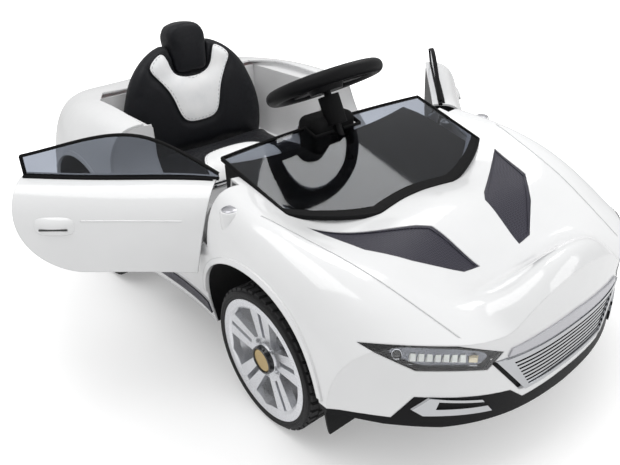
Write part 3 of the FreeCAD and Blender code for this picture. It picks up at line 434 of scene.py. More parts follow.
def screw_tree():
    """Domed screw heads on given points, each along its point's way."""
    tree = Tree("Screw heads on points")
    radius = tree.input("Radius", "Float", 0.004)
    dots = tree.node("GeometryNodeMeshToPoints", {"Mesh": tree.shape})
    way = tree.node("GeometryNodeInputNamedAttribute", {"Name": "way"}, data_type="FLOAT_VECTOR")
    top, tall, wide, thin = [tree.calc("MULTIPLY", radius, share) for share in (0.62, 0.5, 1.1, 0.22)]
    head = tree.node("GeometryNodeMeshCone", {
        "Vertices": 18, "Side Segments": 2, "Radius Top": top, "Radius Bottom": radius, "Depth": tall})
    size = tree.node("ShaderNodeCombineXYZ", {"X": wide, "Y": thin, "Z": thin})
    bar = tree.node("GeometryNodeMeshCube", {"Size": size})
    lift = tree.node("ShaderNodeCombineXYZ", {"Z": tall})
    raised = tree.node("GeometryNodeTransform", {"Geometry": bar, "Translation": lift})
    screw = tree.node("GeometryNodeJoinGeometry", {0: head})
    tree.fill(screw, {0: raised})
    return tree.copies(dots, screw, tree.aligned("Z", {"Vector": way}))


def taken(obj):
    """The evaluated mesh of a helper object, which is removed."""
    graph = bpy.context.evaluated_depsgraph_get()
    mesh = bpy.data.meshes.new_from_object(obj.evaluated_get(graph), depsgraph=graph)
    obj.modifiers.clear()
    bpy.data.objects.remove(obj)
    return mesh


def grown(tree, base, finish, **inputs):
    """Plain mesh of what a node tree makes of a base mesh."""
    obj = link("grown", base)
    modifier = obj.modifiers.new("Nodes", "NODES")
    modifier.node_group = tree
    wanted = dict(inputs, Material=FINISHES[finish])
    for item in tree.interface.items_tree:
        if item.item_type == "SOCKET" and item.in_out == "INPUT" and item.name in wanted:
            modifier[item.identifier] = wanted[item.name]
    return taken(obj)


def bead(paths, finish, radius, spacing=0.004, closed=False):
    return grown(bead_tree(), path_mesh(paths, closed), finish, Radius=radius, Spacing=spacing)


def stitches(path, length, radius):
    return grown(stitch_tree(), path_mesh([path], True), "thread", Length=length, Radius=radius)


# Finishes

class Paint(Graph):
    """Builder for one procedural material on object coordinates."""

    def __init__(self, name, **sockets):
        self.material = bpy.data.materials.new(name)
        self.material.use_nodes = True
        super().__init__(self.material.node_tree)
        self.shader = self.graph.nodes["Principled BSDF"]
        self.place = self.node("ShaderNodeTexCoord").outputs["Object"]
        self.fill(self.shader, {key.replace("_", " "): value for key, value in sockets.items()})
        FINISHES[name] = self.material

    def noise(self, scale, detail=3.0):
        links = {"Vector": self.place, "Scale": scale, "Detail": detail}
        return self.node("ShaderNodeTexNoise", links).outputs["Fac"]

    def shade(self, value, low, high, span=(0.3, 0.7)):
        """Base colour from low to high."""
        ramp = self.node("ShaderNodeValToRGB", {"Fac": value})
        for stop, at, colour in zip(ramp.color_ramp.elements, span, (low, high)):
            stop.position = at
            stop.color = (*colour, 1)
        self.fill(self.shader, {"Base Color": ramp})

    def spread(self, value, low, high):
        """Roughness from low to high."""
        self.fill(self.shader, {"Roughness": self.node("ShaderNodeMapRange", {
            "Value": value, "From Min": 0.3, "From Max": 0.7, "To Min": low, "To Max": high})})

    def relief(self, value, strength, depth, before=None):
        """Bump on top of the relief or the soft edges that come before it."""
        bump = self.node("ShaderNodeBump", {"Height": value, "Strength": strength, "Distance": depth})
        if before:
            self.fill(bump, {"Normal": before})
        self.fill(self.shader, {"Normal": bump})
        return bump


def tinted(colour, factor):
    return tuple(min(1.0, c * factor) for c in colour)


def moulded(name, colour, rough, grain, depth, vary, edge=0.0, **sockets):
    """Plastic, paint or metal with fine grain, uneven gloss, slight relief and soft edges."""
    paint = Paint(name, **sockets)
    paint.shade(paint.noise(14.0, 2.0), tinted(colour, 1 - vary), tinted(colour, 1 + vary * 0.4))
    fine = paint.noise(grain)
    paint.spread(fine, *rough)
    soft = paint.node("ShaderNodeBevel", {"Radius": edge}, samples=6) if edge else None
    paint.relief(fine, 0.35, depth, soft)


def woven(name, dark, light):
    """Twill weave: two sets of threads that cross at 3 mm."""
    paint = Paint(name, Specular_IOR_Level=0.2)
    thread = {"Vector": paint.place, "Scale": 105.0, "Distortion": 0.4, "Detail": 1.0}
    waves = [paint.node("ShaderNodeTexWave", thread, bands_direction=axis).outputs["Fac"] for axis in "XY"]
    check = paint.node("ShaderNodeTexChecker", {
        "Vector": paint.place, "Scale": 330.0, "Color1": (0, 0, 0, 1), "Color2": (1, 1, 1, 1)})
    mix = paint.node("ShaderNodeMix", {0: check.outputs["Fac"], 2: waves[0], 3: waves[1]})
    paint.shade(mix, dark, light, span=(0.1, 0.9))
    paint.spread(paint.noise(300.0), 0.32, 0.46)
    paint.relief(mix, 0.5, 0.0004)


def leathery(name, colour, rough, sheen):
    """Pebbled leatherette with creases and uneven gloss."""
    paint = Paint(name, Sheen_Weight=sheen, Sheen_Roughness=0.5, Specular_IOR_Level=0.25)
    pebble = paint.node("ShaderNodeTexVoronoi", {"Vector": paint.place, "Scale": 520.0}, feature="F1")
    cloud = paint.noise(30.0, 4.0)
    paint.shade(cloud, tinted(colour, 0.92), tinted(colour, 1.04))
    paint.spread(paint.noise(180.0), *rough)
    first = paint.relief(pebble.outputs["Distance"], 0.30, 0.0004)
    paint.relief(cloud, 0.22, 0.0012, first)


def clear_sheet(name, tint, rough):
    """Tinted see-through plastic with uneven gloss."""
    paint = Paint(name, Transmission_Weight=1.0, IOR=1.35)
    paint.shade(paint.noise(9.0, 2.0), tinted(tint, 0.94), tinted(tint, 1.04))
    paint.spread(paint.noise(60.0), *rough)


NODE_FINISH = {
    "body gloss": ["body_shell", "right_door_panel", "left_door_panel"],
    "interior satin": ["cockpit_tub", "seat_box", "door_frames"],
    "black moulding": ["front_bumper", "rear_bumper", "headlight_housings", "floor_pan", "gearboxes",
                       "battery", "front_wheel_wells", "rear_wheel_wells", "charging_socket",
                       "right_door_liner", "left_door_liner", "direction_switch", "steering_shaft"],
    "matt black": ["dashboard"],
    "bright chrome": ["grille", "fog_trims"],
    "satin silver": ["nose_trim"],
    "woven trim": ["hood_vents", "side_skirts"],
    "smoked sheet": ["windscreen", "right_door_window", "left_door_window"],
    "clear lens": ["headlight_lenses"],
    "red lens": ["tail_lights", "power_switch"],
    "zinc steel": ["floor_screws", "front_axle_beam", "steering_bracket", "rear_axle", "drive_motors",
                   "pivot_pins", "right_knuckle", "left_knuckle", "tie_rod"],
    "grip rubber": ["steering_wheel", "pedal"],
    "horn pad": ["horn_button"],
    "black leatherette": ["seat_cushion", "seat_back", "headrest"],
    "light leatherette": ["seat_cushion_insert", "seat_back_insert"],
    "wheel silver": [name + "_rim" for name, x, sign in WHEELS],
    "gold cap": [name + "_hub_cap" for name, x, sign in WHEELS],
    "tyre rubber": [name + "_tyre" for name, x, sign in WHEELS],
}


class CAR_OT_finishes(bpy.types.Operator):
    """Make the materials and paint the CAD nodes"""
    bl_idname = "car.finishes"
    bl_label = "Finishes"

    def execute(self, context):
        look = context.scene.car_finish
        black = look.plastic
        moulded("body gloss", look.body, (0.10, 0.17), 900.0, 0.00004, 0.02, 0.0025,
                Coat_Weight=0.6, Coat_Roughness=0.05)
        moulded("interior satin", look.interior, (0.34, 0.46), 700.0, 0.0002, 0.03, 0.0015)
        moulded("black moulding", black, (0.36, 0.52), 800.0, 0.0003, 0.2, Specular_IOR_Level=0.12)
        moulded("matt black", tinted(black, 0.5), (0.6, 0.75), 500.0, 0.00003, 0.2, Specular_IOR_Level=0.15)
        moulded("black gloss", tinted(black, 0.7), (0.08, 0.16), 600.0, 0.00005, 0.2, Coat_Weight=0.5)
        moulded("bright chrome", (0.60, 0.61, 0.63), (0.05, 0.10), 260.0, 0.00004, 0.03, Metallic=1.0)
        moulded("satin silver", (0.60, 0.60, 0.63), (0.26, 0.36), 500.0, 0.00008, 0.04, Metallic=1.0)
        moulded("wheel silver", (0.82, 0.83, 0.86), (0.24, 0.34), 1200.0, 0.00006, 0.05, Metallic=0.85)
        moulded("gold cap", look.cap, (0.26, 0.38), 500.0, 0.00008, 0.08, Metallic=0.9)
        moulded("zinc steel", (0.52, 0.53, 0.55), (0.32, 0.48), 300.0, 0.0001, 0.12, Metallic=1.0)
        moulded("grip rubber", tinted(black, 0.8), (0.42, 0.58), 1300.0, 0.0004, 0.2, Specular_IOR_Level=0.15)
        moulded("horn pad", tinted(black, 1.2), (0.34, 0.5), 900.0, 0.0003, 0.2)
        moulded("tyre rubber", (0.011, 0.011, 0.012), (0.62, 0.8), 500.0, 0.0005, 0.25)
        moulded("thread", (0.60, 0.61, 0.62), (0.5, 0.7), 2500.0, 0.0002, 0.1)
        moulded("lamp silver", (0.62, 0.63, 0.66), (0.12, 0.22), 900.0, 0.0001, 0.1, Metallic=0.9)
        moulded("lamp tray", (0.15, 0.155, 0.175), (0.10, 0.22), 120.0, 0.0004, 0.3, Metallic=0.8)
        moulded("lamp glow", (0.86, 0.87, 0.84), (0.18, 0.3), 900.0, 0.0001, 0.05, Coat_Weight=0.5)
        moulded("lamp warm", (0.80, 0.70, 0.50), (0.18, 0.3), 900.0, 0.0001, 0.08, Coat_Weight=0.5)
        moulded("dial face", (0.03, 0.03, 0.034), (0.3, 0.4), 700.0, 0.0001, 0.1)
        moulded("dial mark", (0.8, 0.8, 0.78), (0.35, 0.45), 700.0, 0.00005, 0.03)
        moulded("needle red", (0.6, 0.03, 0.02), (0.3, 0.4), 700.0, 0.00005, 0.06)
        woven("woven trim", tinted(look.carbon, 0.45), look.carbon)
        leathery("black leatherette", look.leather, (0.42, 0.6), 0.03)
        leathery("light leatherette", look.insert, (0.40, 0.56), 0.1)
        clear_sheet("smoked sheet", look.smoke, (0.02, 0.05))
        clear_sheet("clear lens", (0.95, 0.96, 0.97), (0.02, 0.05))
        clear_sheet("red lens", (0.62, 0.02, 0.02), (0.08, 0.14))
        for finish, names in NODE_FINISH.items():
            for name in names:
                painted(NODES[name].data, finish)
        return {"FINISHED"}


# Stage

CAMERA_RIGHT = Vector((0.63243228, 0.77360077, -0.03963913))
CAMERA_UP = Vector((-0.34952834, 0.33066423, 0.87663625))
FLOOR_RADIUS = 9.0
FLOOR_NEAR = 0.40
FLOOR_FAR = 0.88
# Name, setting of the power, size, place, what it looks at, and whether it casts shadows
LIGHTS = (
    ("key light", "key_power", (1.6, 1.6), (-0.2, -0.7, 2.1), (0.0, 0.0, 0.2), True),
    ("fill light", "fill_power", (1.4, 1.0), (2.0, 0.9, 1.1), (0.1, 0.0, 0.2), True),
    ("panel light", "panel_power", (0.55, 0.40), (-0.12, 0.52, 1.15), (0.13, -0.10, 0.30), False),
)


def seen(graph):
    """1 on camera and transmission rays."""
    path = graph.node("ShaderNodeLightPath")
    return graph.calc("MAXIMUM", path.outputs["Is Camera Ray"], path.outputs["Is Transmission Ray"])


class CAR_OT_stage(bpy.types.Operator):
    """Make the camera, lights, floor and background"""
    bl_idname = "car.stage"
    bl_label = "Stage"

    def execute(self, context):
        scene = context.scene
        look = scene.car_stage
        scene.view_settings.view_transform = "Standard"
        lens = bpy.data.cameras.new("camera")
        lens.lens = look.lens
        lens.sensor_width = 36.0
        lens.sensor_fit = "HORIZONTAL"
        lens.clip_start = 0.05
        scene.camera = link("camera", lens)
        turn = Matrix((CAMERA_RIGHT, CAMERA_UP, CAMERA_RIGHT.cross(CAMERA_UP))).transposed()
        scene.camera.matrix_world = Matrix.Translation(Vector(look.eye)) @ turn.to_4x4()
        for name, power, size, place, aim, shadow in LIGHTS:
            light = bpy.data.lights.new(name, "AREA")
            light.shape = "RECTANGLE"
            light.size, light.size_y = size
            light.energy = getattr(look, power)
            light.use_shadow = shadow
            lamp = link(name, light)
            lamp.location = place
            lamp.rotation_euler = (Vector(aim) - Vector(place)).to_track_quat("-Z", "Y").to_euler()
        self.backdrop(scene, look)
        self.floor(look)
        return {"FINISHED"}

    def backdrop(self, scene, look):
        """White where it is looked at, dimmer as a source of light."""
        world = bpy.data.worlds.new("studio")
        world.use_nodes = True
        scene.world = world
        sky = Graph(world.node_tree)
        span = sky.node("ShaderNodeMapRange", {"Value": seen(sky), "To Min": look.ambient, "To Max": 1.0})
        sky.fill(sky.graph.nodes["Background"], {"Color": (1, 1, 1, 1), "Strength": span})

    def floor(self, look):
        """A white floor that takes the car's shadow and fades into the background."""
        bm = bmesh.new()
        bmesh.ops.create_circle(bm, cap_ends=True, segments=96, radius=FLOOR_RADIUS)
        floor = link("floor", to_mesh(bm, "floor"))
        paint = Paint("floor white", Roughness=0.9, Specular_IOR_Level=0.0)
        paint.shade(paint.noise(3.0), (0.86, 0.86, 0.86), (0.88, 0.88, 0.88))
        away = paint.node("ShaderNodeVectorMath", {0: paint.place}, operation="LENGTH").outputs["Value"]
        rise = paint.node("ShaderNodeMapRange", {
            "Value": away, "From Min": FLOOR_NEAR, "From Max": FLOOR_FAR,
            "To Min": look.floor_lift, "To Max": 1.0}, interpolation_type="SMOOTHSTEP")
        lift = paint.calc("MULTIPLY", seen(paint), rise)
        glow = paint.node("ShaderNodeEmission", {"Color": (1, 1, 1, 1), "Strength": lift})
        both = paint.node("ShaderNodeAddShader", {0: paint.shader, 1: glow})
        paint.fill(paint.graph.nodes["Material Output"], {"Surface": both})
        painted(floor.data, "floor white")


# Seat

CUSHION_INSERT = [(-0.196, -0.088), (-0.235, -0.076), (-0.268, -0.052), (-0.276, 0.0), (-0.268, 0.052),
                  (-0.235, 0.076), (-0.196, 0.088), (-0.178, 0.084), (-0.178, -0.084)]
CUSHION_AIM = Vector((0.12, 0, 1)).normalized()
CUSHION_HELD = 0.007
CUSHION_SEWN = 0.012
CUSHION_START = Vector((0.036, 0, 0.5))
BACK_INSERT = [(0.0, 0.240), (0.030, 0.242), (0.046, 0.256), (0.058, 0.304), (0.076, 0.334), (0.096, 0.360),
               (0.084, 0.376), (0.060, 0.390), (0.052, 0.380), (0.044, 0.350), (0.030, 0.337), (0.0, 0.333)]
BACK_AIM = Vector((1, 0, 0.09)).normalized()
BACK_HELD = 0.010
BACK_SEWN = 0.020
BACK_START = Vector((0.1, 0, 0.042))
BACK_LEAN = math.tan(math.radians(5))
BACK_FOOT = Vector((-0.400, 0, 0.160))
HEADREST_HELD = 0.006
# Finish, body and slot
BLACK_COVER = ("black leatherette", "chassis", "black_leather")
LIGHT_COVER = ("light leatherette", "chassis", "light_leather")
CLOTH_FRAMES = 20
SEAM_REACH = 0.007
SEAM_STEP = 0.003
PATCH_STEP = 0.005
PATCH_LIFT = 0.0014
PATCH_SKIRT = 0.006
PIPING_RADIUS = 0.0018
STITCH_INSET = 0.006
STITCH_LIFT = 0.0004
STITCH_RADIUS = 0.0007


def from_rear(point):
    """How far a point lies in front of the back's leaning rear face."""
    return point.x - BACK_FOOT.x + (point.z - BACK_FOOT.z) * BACK_LEAN


def rounded(points, passes=2):
    """Closed outline with its corners cut off again and again."""
    for i in range(passes):
        cut = []
        for a, b in zip(points, points[1:] + points[:1]):
            cut += [a.lerp(b, 0.25), a.lerp(b, 0.75)]
        points = cut
    return points


def evenly(points, step):
    """Closed outline resampled at an even step."""
    loop = points + points[:1]
    lengths = [0.0]
    for a, b in zip(loop, loop[1:]):
        lengths.append(lengths[-1] + (b - a).length)
    count = max(3, round(lengths[-1] / step))
    marks = np.linspace(0, lengths[-1], count, endpoint=False)
    flat = np.array([tuple(p) for p in loop])
    return [Vector([np.interp(m, lengths, flat[:, k]) for k in range(flat.shape[1])]) for m in marks]


def filled_pad(name, nodes, held, settings):
    """A pad swollen from CAD solids by cloth pressure, held where the test says that it rests."""
    shape = link(name, to_mesh(merged_copy(*nodes), name))
    remesh = shape.modifiers.new("Remesh", "REMESH")
    remesh.mode = "VOXEL"
    remesh.voxel_size = settings.voxel
    mesh = eased_mesh(taken(shape), 4)
    start = np.array([v.co for v in mesh.vertices])
    pad = link(name, mesh)
    group = pad.vertex_groups.new(name="rest")
    group.add([v.index for v in mesh.vertices if held(v.co)], 1.0, "REPLACE")
    cloth = pad.modifiers.new("Cloth", "CLOTH")
    cloth.settings.vertex_group_mass = "rest"
    cloth.settings.use_pressure = True
    cloth.settings.uniform_pressure_force = settings.pressure
    cloth.settings.effector_weights.gravity = 0.0
    cloth.settings.quality = 4
    cloth.point_cache.frame_start = 1
    cloth.point_cache.frame_end = CLOTH_FRAMES
    scene = bpy.context.scene
    for number in range(1, CLOTH_FRAMES + 1):
        scene.frame_set(number)
    mesh = taken(pad)
    shift = np.array([v.co for v in mesh.vertices]) - start
    reach = np.linalg.norm(shift, axis=1)
    cap = settings.swell
    shift *= (cap * np.tanh(reach / cap) / np.maximum(reach, 1e-9))[:, None]
    for vertex, place in zip(mesh.vertices, start + shift):
        vertex.co = place
    scene.frame_set(1)
    return eased_mesh(mesh, 2)


def eased_mesh(mesh, passes):
    bm = bmesh.new()
    bm.from_mesh(mesh)
    eased(bm, bm.verts, passes)
    bm.to_mesh(mesh)
    bm.free()
    return mesh


def finer(mesh):
    obj = link("finer", mesh)
    rounder = obj.modifiers.new("Subdivision", "SUBSURF")
    rounder.levels = rounder.render_levels = 1
    return smoothed(taken(obj), 3.2)


def sewn(mesh, outline, flat, push, depth):
    """Draws the pad in along an outline given in a flat view."""
    line = np.array([tuple(p) for p in outline])
    for vertex in mesh.vertices:
        spot = flat(vertex.co)
        if spot is None:
            continue
        gap = np.sqrt(((line - np.array(spot)) ** 2).sum(axis=1).min())
        vertex.co -= push * (depth * math.exp(-(gap / SEAM_REACH) ** 2))


def patch(name, outline, place, aim, target):
    """A cover panel inside an outline, laid on the pad along the aim, and the points of its edge."""
    edge = evenly(outline, PATCH_STEP)
    low = [min(p[k] for p in edge) for k in range(2)]
    high = [max(p[k] for p in edge) for k in range(2)]
    inner = []
    for i in range(int((high[0] - low[0]) / PATCH_STEP)):
        for j in range(int((high[1] - low[1]) / PATCH_STEP)):
            spot = Vector((low[0] + (i + 0.5) * PATCH_STEP, low[1] + (j + 0.5) * PATCH_STEP))
            if min((spot - p).length for p in edge) > PATCH_STEP * 0.6:
                inner.append(spot)
    count = len(edge)
    border = [(i, (i + 1) % count) for i in range(count)]
    spots, edges, faces = delaunay_2d_cdt(edge + inner, border, [], 1, 1e-6)[:3]
    points = []
    reach = target.find_nearest(place(edge[0]))[3]
    for spot in spots:
        start = place(spot)
        hit, normal, face, gap = target.ray_cast(start, -aim)
        if hit is None:
            hit, normal = target.find_nearest(start - aim * reach)[:2]
        else:
            reach = gap
        points.append(hit + normal * PATCH_LIFT)
    bm = bmesh.new()
    made = [bm.verts.new(p) for p in points]
    for face in faces:
        bm.faces.new([made[i] for i in face])
    turned_to(bm, aim)
    eased(bm, [v for v in bm.verts if not v.is_boundary], 2)
    down = bmesh.ops.extrude_edge_only(bm, edges=[e for e in bm.edges if e.is_boundary])
    for vertex in [v for v in down["geom"] if isinstance(v, bmesh.types.BMVert)]:
        vertex.co -= aim * PATCH_SKIRT
    return to_mesh(bm, name, 0.9), points[:count]


class CAR_OT_seat(bpy.types.Operator):
    """Make the seat cushion, back, headrest and inserts with their seams"""
    bl_idname = "car.seat"
    bl_label = "Seat"

    def execute(self, context):
        settings = context.scene.car_seat
        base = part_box("seat_cushion")[0].z
        outline = [Vector(p) for p in CUSHION_INSERT]
        self.panel("seat_cushion", outline, CUSHION_AIM, settings,
                   lambda p: p.z < base + CUSHION_HELD,
                   lambda p: (p.x, p.y) if p.z > base + CUSHION_SEWN else None,
                   lambda s: CUSHION_START + Vector((s[0], s[1], 0)))
        half = [Vector(p) for p in BACK_INSERT]
        outline = half + [Vector((-p[0], p[1])) for p in reversed(half[1:-1])]
        self.panel("seat_back", outline, BACK_AIM, settings,
                   lambda p: from_rear(p) < BACK_HELD,
                   lambda p: (p.y, p.z) if from_rear(p) > BACK_SEWN else None,
                   lambda s: BACK_START + Vector((0, s[0], s[1])))
        mesh = filled_pad("headrest_pad", ["headrest"], lambda p: from_rear(p) < HEADREST_HELD, settings)
        pad = piece("headrest_pad", finer(mesh), *BLACK_COVER, "headrest")
        return {"FINISHED"}

    def panel(self, name, outline, aim, settings, held, flat, place):
        """A pad with its insert, the piping round it and the stitches inside the piping."""
        outline = rounded(outline)
        mesh = filled_pad(name + "_pad", [name, name + "_insert"], held, settings)
        sewn(mesh, evenly(outline, SEAM_STEP), flat, aim, settings.seam)
        pad = piece(name + "_pad", finer(mesh), *BLACK_COVER, name)
        cover, edge = patch(name + "_insert_pad", outline, place, aim, tree_of(pad))
        inlay = piece(name + "_insert_pad", cover, *LIGHT_COVER, name + "_insert")
        piece(name + "_piping", bead([edge], BLACK_COVER[0], PIPING_RADIUS, closed=True), *BLACK_COVER)
        centre = sum(edge, Vector()) / len(edge)
        top = tree_of(inlay)
        inside = [p + (centre - p).normalized() * STITCH_INSET for p in edge]
        inside = [top.find_nearest(p)[0] + aim * STITCH_LIFT for p in inside]
        seam = stitches(inside, settings.stitch, STITCH_RADIUS)
        piece(name + "_stitches", seam, "thread", "chassis", "black_leather")


# Wheels: profiles are (radius, depth behind the outer face)

TYRE_RADIUS = AXLE_HEIGHT
TYRE_FRONT = [(0.0901, 0.003), (0.0925, 0.0006), (0.0945, 0.0014), (0.0965, 0.0002), (0.0985, 0.0004),
              (0.1005, 0.002)]
TYRE_EDGES = (0.0065, 0.0595)
TYRE_BACK = [(0.1005, 0.064), (0.0985, 0.0656), (0.0945, 0.0655), (0.0901, 0.0635)]
# Depth, width, skew and offset of each row of tread blocks
TREAD_ROWS = ((0.0115, 0.013, 0.5, 0.0), (0.0255, 0.011, -0.45, 0.5), (0.0405, 0.011, 0.45, 0.0),
              (0.0545, 0.013, -0.5, 0.5))
BLOCK_LENGTH = 0.36
BLOCK_TAPER = 0.86
BLOCK_SUNK = 0.0005
BLOCK_FACES = [(0, 1, 3, 2), (4, 6, 7, 5), (0, 4, 5, 1), (2, 3, 7, 6), (0, 2, 6, 4), (1, 5, 7, 3)]
BOLT = [(0.0, -0.004), (0.0021, -0.004), (0.0024, -0.0012), (0.0052, -0.0008), (0.0055, 0.0008),
        (0.0055, 0.012), (0.0, 0.012)]
BOLT_PLACE = (0, 0.0108, 0.0262)
BOLT_TURN = math.radians(36)
CAP_RING = [(0.0172, 0.0072), (0.0172, 0.0022), (0.0182, 0.0008), (0.0200, 0.0012), (0.0208, 0.0034),
            (0.0208, 0.0088)]


class CAR_OT_wheels(bpy.types.Operator):
    """Make the treaded tyres, the wheel bolts and the cap rings"""
    bl_idname = "car.wheels"
    bl_label = "Wheels"

    def execute(self, context):
        settings = context.scene.car_wheel
        base = TYRE_RADIUS - settings.tread
        profile = TYRE_FRONT + [(base, y) for y in TYRE_EDGES] + TYRE_BACK
        for name, x, sign in WHEELS:
            body = name + "_wheel"
            place = Matrix.Translation((x, sign * OUTER_FACE, AXLE_HEIGHT))
            place = place @ Matrix.Diagonal((1, -sign, 1, 1))
            rows = [self.row(settings, base, *row) for row in TREAD_ROWS]
            tyre = [lathe("tyre", profile, 96, place)] + [seated(row, place) for row in rows]
            tyre = joined(name + "_treaded_tyre", tyre)
            piece(name + "_treaded_tyre", tyre, "tyre rubber", body, "tyre", name + "_tyre")
            bolt = lathe("bolt", BOLT, 6, Matrix.Translation(BOLT_PLACE), 0.3)
            bolts = grown(ring_tree(), bolt, "zinc steel", Count=settings.bolts, Offset=BOLT_TURN)
            piece(name + "_bolts", seated(bolts, place), "zinc steel", body, "steel")
            ring = lathe("ring", CAP_RING, 48, place)
            piece(name + "_cap_ring", ring, "black gloss", body, "black_plastic")
        return {"FINISHED"}

    def row(self, settings, base, depth, wide, skew, offset):
        """One ring of skewed, tapered tread blocks."""
        step = math.tau / settings.blocks
        half = step * TYRE_RADIUS * BLOCK_LENGTH
        bm = bmesh.new()
        made = []
        for z, pull in ((base - BLOCK_SUNK, 1.0), (TYRE_RADIUS, BLOCK_TAPER)):
            for side in (-1, 1):
                for end in (-1, 1):
                    x = end * half * pull + side * skew * wide * 0.25
                    made.append(bm.verts.new((x, depth + side * wide * 0.5 * pull, z)))
        for face in BLOCK_FACES:
            bm.faces.new([made[i] for i in face])
        clean(bm)
        block = to_mesh(bm, "block", 0.3)
        return grown(ring_tree(), block, "tyre rubber", Count=settings.blocks, Offset=offset * step)


# Lamps

LAMP_AIM = Vector((0.62, -0.62, 0.48)).normalized()
LAMP_ROW = (Vector((0.412, -0.236, 0.212)), Vector((0.484, -0.148, 0.200)))
LAMP_OUTLINE = [Vector(p) for p in ((0.392, -0.252, 0.226), (0.470, -0.176, 0.224), (0.495, -0.124, 0.203),
                                    (0.487, -0.141, 0.182), (0.446, -0.214, 0.196))]
EYE_SHARE = 0.16
EYE_RISE = Vector((0, 0, 0.0035))
EYE_RADIUS = 0.0051
EYE_DOME = [(EYE_RADIUS * math.sin(t), -0.0012 - 0.0024 * math.cos(t))
            for t in np.linspace(0.02, math.pi / 2, 7)] + [(EYE_RADIUS, 0.002), (0.0001, 0.002)]
EYE_RING = [(0.0050, -0.0034), (0.0056, -0.0036), (0.0066, -0.0012), (0.0068, 0.003), (0.0050, 0.003)]
BLOCK_SHARES = (0.31, 0.80)
BLOCK_SIZE = (0.0078, 0.0105, 0.0034)
BLOCK_LIFT = 0.0002
WARM_SHARE = 0.92
WARM_SIZE = (0.0085, 0.0115, 0.0036)
WARM_HALF = 0.001
BAR_SHARES = (0.18, 0.96)
BAR_DROP = Vector((0, 0, 0.0105))
BAR_LIFT = 0.0008
BAR_RADIUS = 0.0011
# Share of the outline and lift of each ring of the tray
TRAY_RINGS = ((0.80, -0.0010), (0.80, 0.0003), (0.55, 0.0003), (0.28, 0.0003))
TRAY_STEP = 0.004
RIB_SHARES = (0.25, 0.5, 0.75)
RIB_RADIUS = 0.0013
RIB_INSET = 0.006
RIB_STEP = 0.01
RIB_POINTS = 9


class CAR_OT_lamps(bpy.types.Operator):
    """Make the insides of the headlights and the ribs of the tail lamps"""
    bl_idname = "car.lamps"
    bl_label = "Lamps"

    def execute(self, context):
        pan = tree_of(NODES["headlight_housings"])

        def spot(share, lift):
            return laid_on(pan, [LAMP_ROW[0].lerp(LAMP_ROW[1], share)], LAMP_AIM, lift)[0]

        def blocks(ends, finish, count, size):
            return grown(row_tree(), path_mesh([ends]), finish, Count=count, Size=size, Top=LAMP_AIM)

        place = facing(spot(EYE_SHARE, 0.0) + EYE_RISE, LAMP_AIM)
        bar = [spot(share, BAR_LIFT) - BAR_DROP for share in BAR_SHARES]
        row = [spot(share, BLOCK_LIFT) for share in BLOCK_SHARES]
        warm = spot(WARM_SHARE, BLOCK_LIFT)
        step = (LAMP_ROW[1] - LAMP_ROW[0]).normalized() * WARM_HALF
        rings = [lathe("eye ring", EYE_RING, 32, place), bead([bar], "lamp silver", BAR_RADIUS, 0.006)]
        leds = context.scene.car_trim.leds
        for name, mesh, finish, slot in (
                ("headlight_rings", joined("rings", rings), "lamp silver", "chrome"),
                ("headlight_trays", self.tray(pan), "lamp tray", "silver"),
                ("headlight_eyes", lathe("eye", EYE_DOME, 32, place), "black gloss", "clear_glass"),
                ("headlight_blocks", blocks(row, "lamp glow", leds, BLOCK_SIZE), "lamp glow", "clear_glass"),
                ("headlight_warm_blocks", blocks([warm - step, warm + step], "lamp warm", 1, WARM_SIZE),
                 "lamp warm", "gold_cap")):
            both_sides(name, joined(name, [mesh]), finish, slot)
        self.tail()
        return {"FINISHED"}

    def tray(self, pan):
        """A bright tray on the bottom of the housing, under the light blocks."""
        middle = sum(LAMP_OUTLINE, Vector()) / len(LAMP_OUTLINE)
        edge = evenly(rounded(LAMP_OUTLINE), TRAY_STEP)
        bm = bmesh.new()
        rings = []
        for share, lift in TRAY_RINGS:
            ring = laid_on(pan, [middle.lerp(p, share) for p in edge], LAMP_AIM, lift)
            rings.append([bm.verts.new(p) for p in ring])
        bridged(bm, rings)
        bm.faces.new(rings[-1])
        turned_to(bm, LAMP_AIM)
        return to_mesh(bm, "tray")

    def tail(self):
        low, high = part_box("tail_lights")
        lens = tree_of(NODES["tail_lights"])
        ribs = []
        for share in RIB_SHARES:
            z = low.z + (high.z - low.z) * share
            row = [Vector((low.x, low.y + RIB_INSET + k * RIB_STEP, z)) for k in range(RIB_POINTS)]
            ribs.append(laid_on(lens, row, REARWARD))
        both_sides("tail_lamp_ribs", bead(ribs, "red lens", RIB_RADIUS, 0.005), "red lens", "red_lens")


# Glazing

HINGE = Vector((0.106, -0.232, 0.0))
DOOR_TURN = math.radians(45.5)
DOOR_PLACE = Matrix.Translation(HINGE) @ Matrix.Rotation(DOOR_TURN, 4, "Z") @ Matrix.Translation(-HINGE)
SILL_ENDS = (-0.182, 0.090)
SILL_Y = -0.2262
SILL_LIFT = 0.0006
SILL_SHARE = 1.2
BAND_WIDTH = 0.014
BAND_HALF = 0.194
BAND_STEPS = 90
BAND_SEARCH = np.arange(0.275, 0.150, -0.0005)
BAND_LIFT = 0.0004
EDGE_LEAST = 0.02


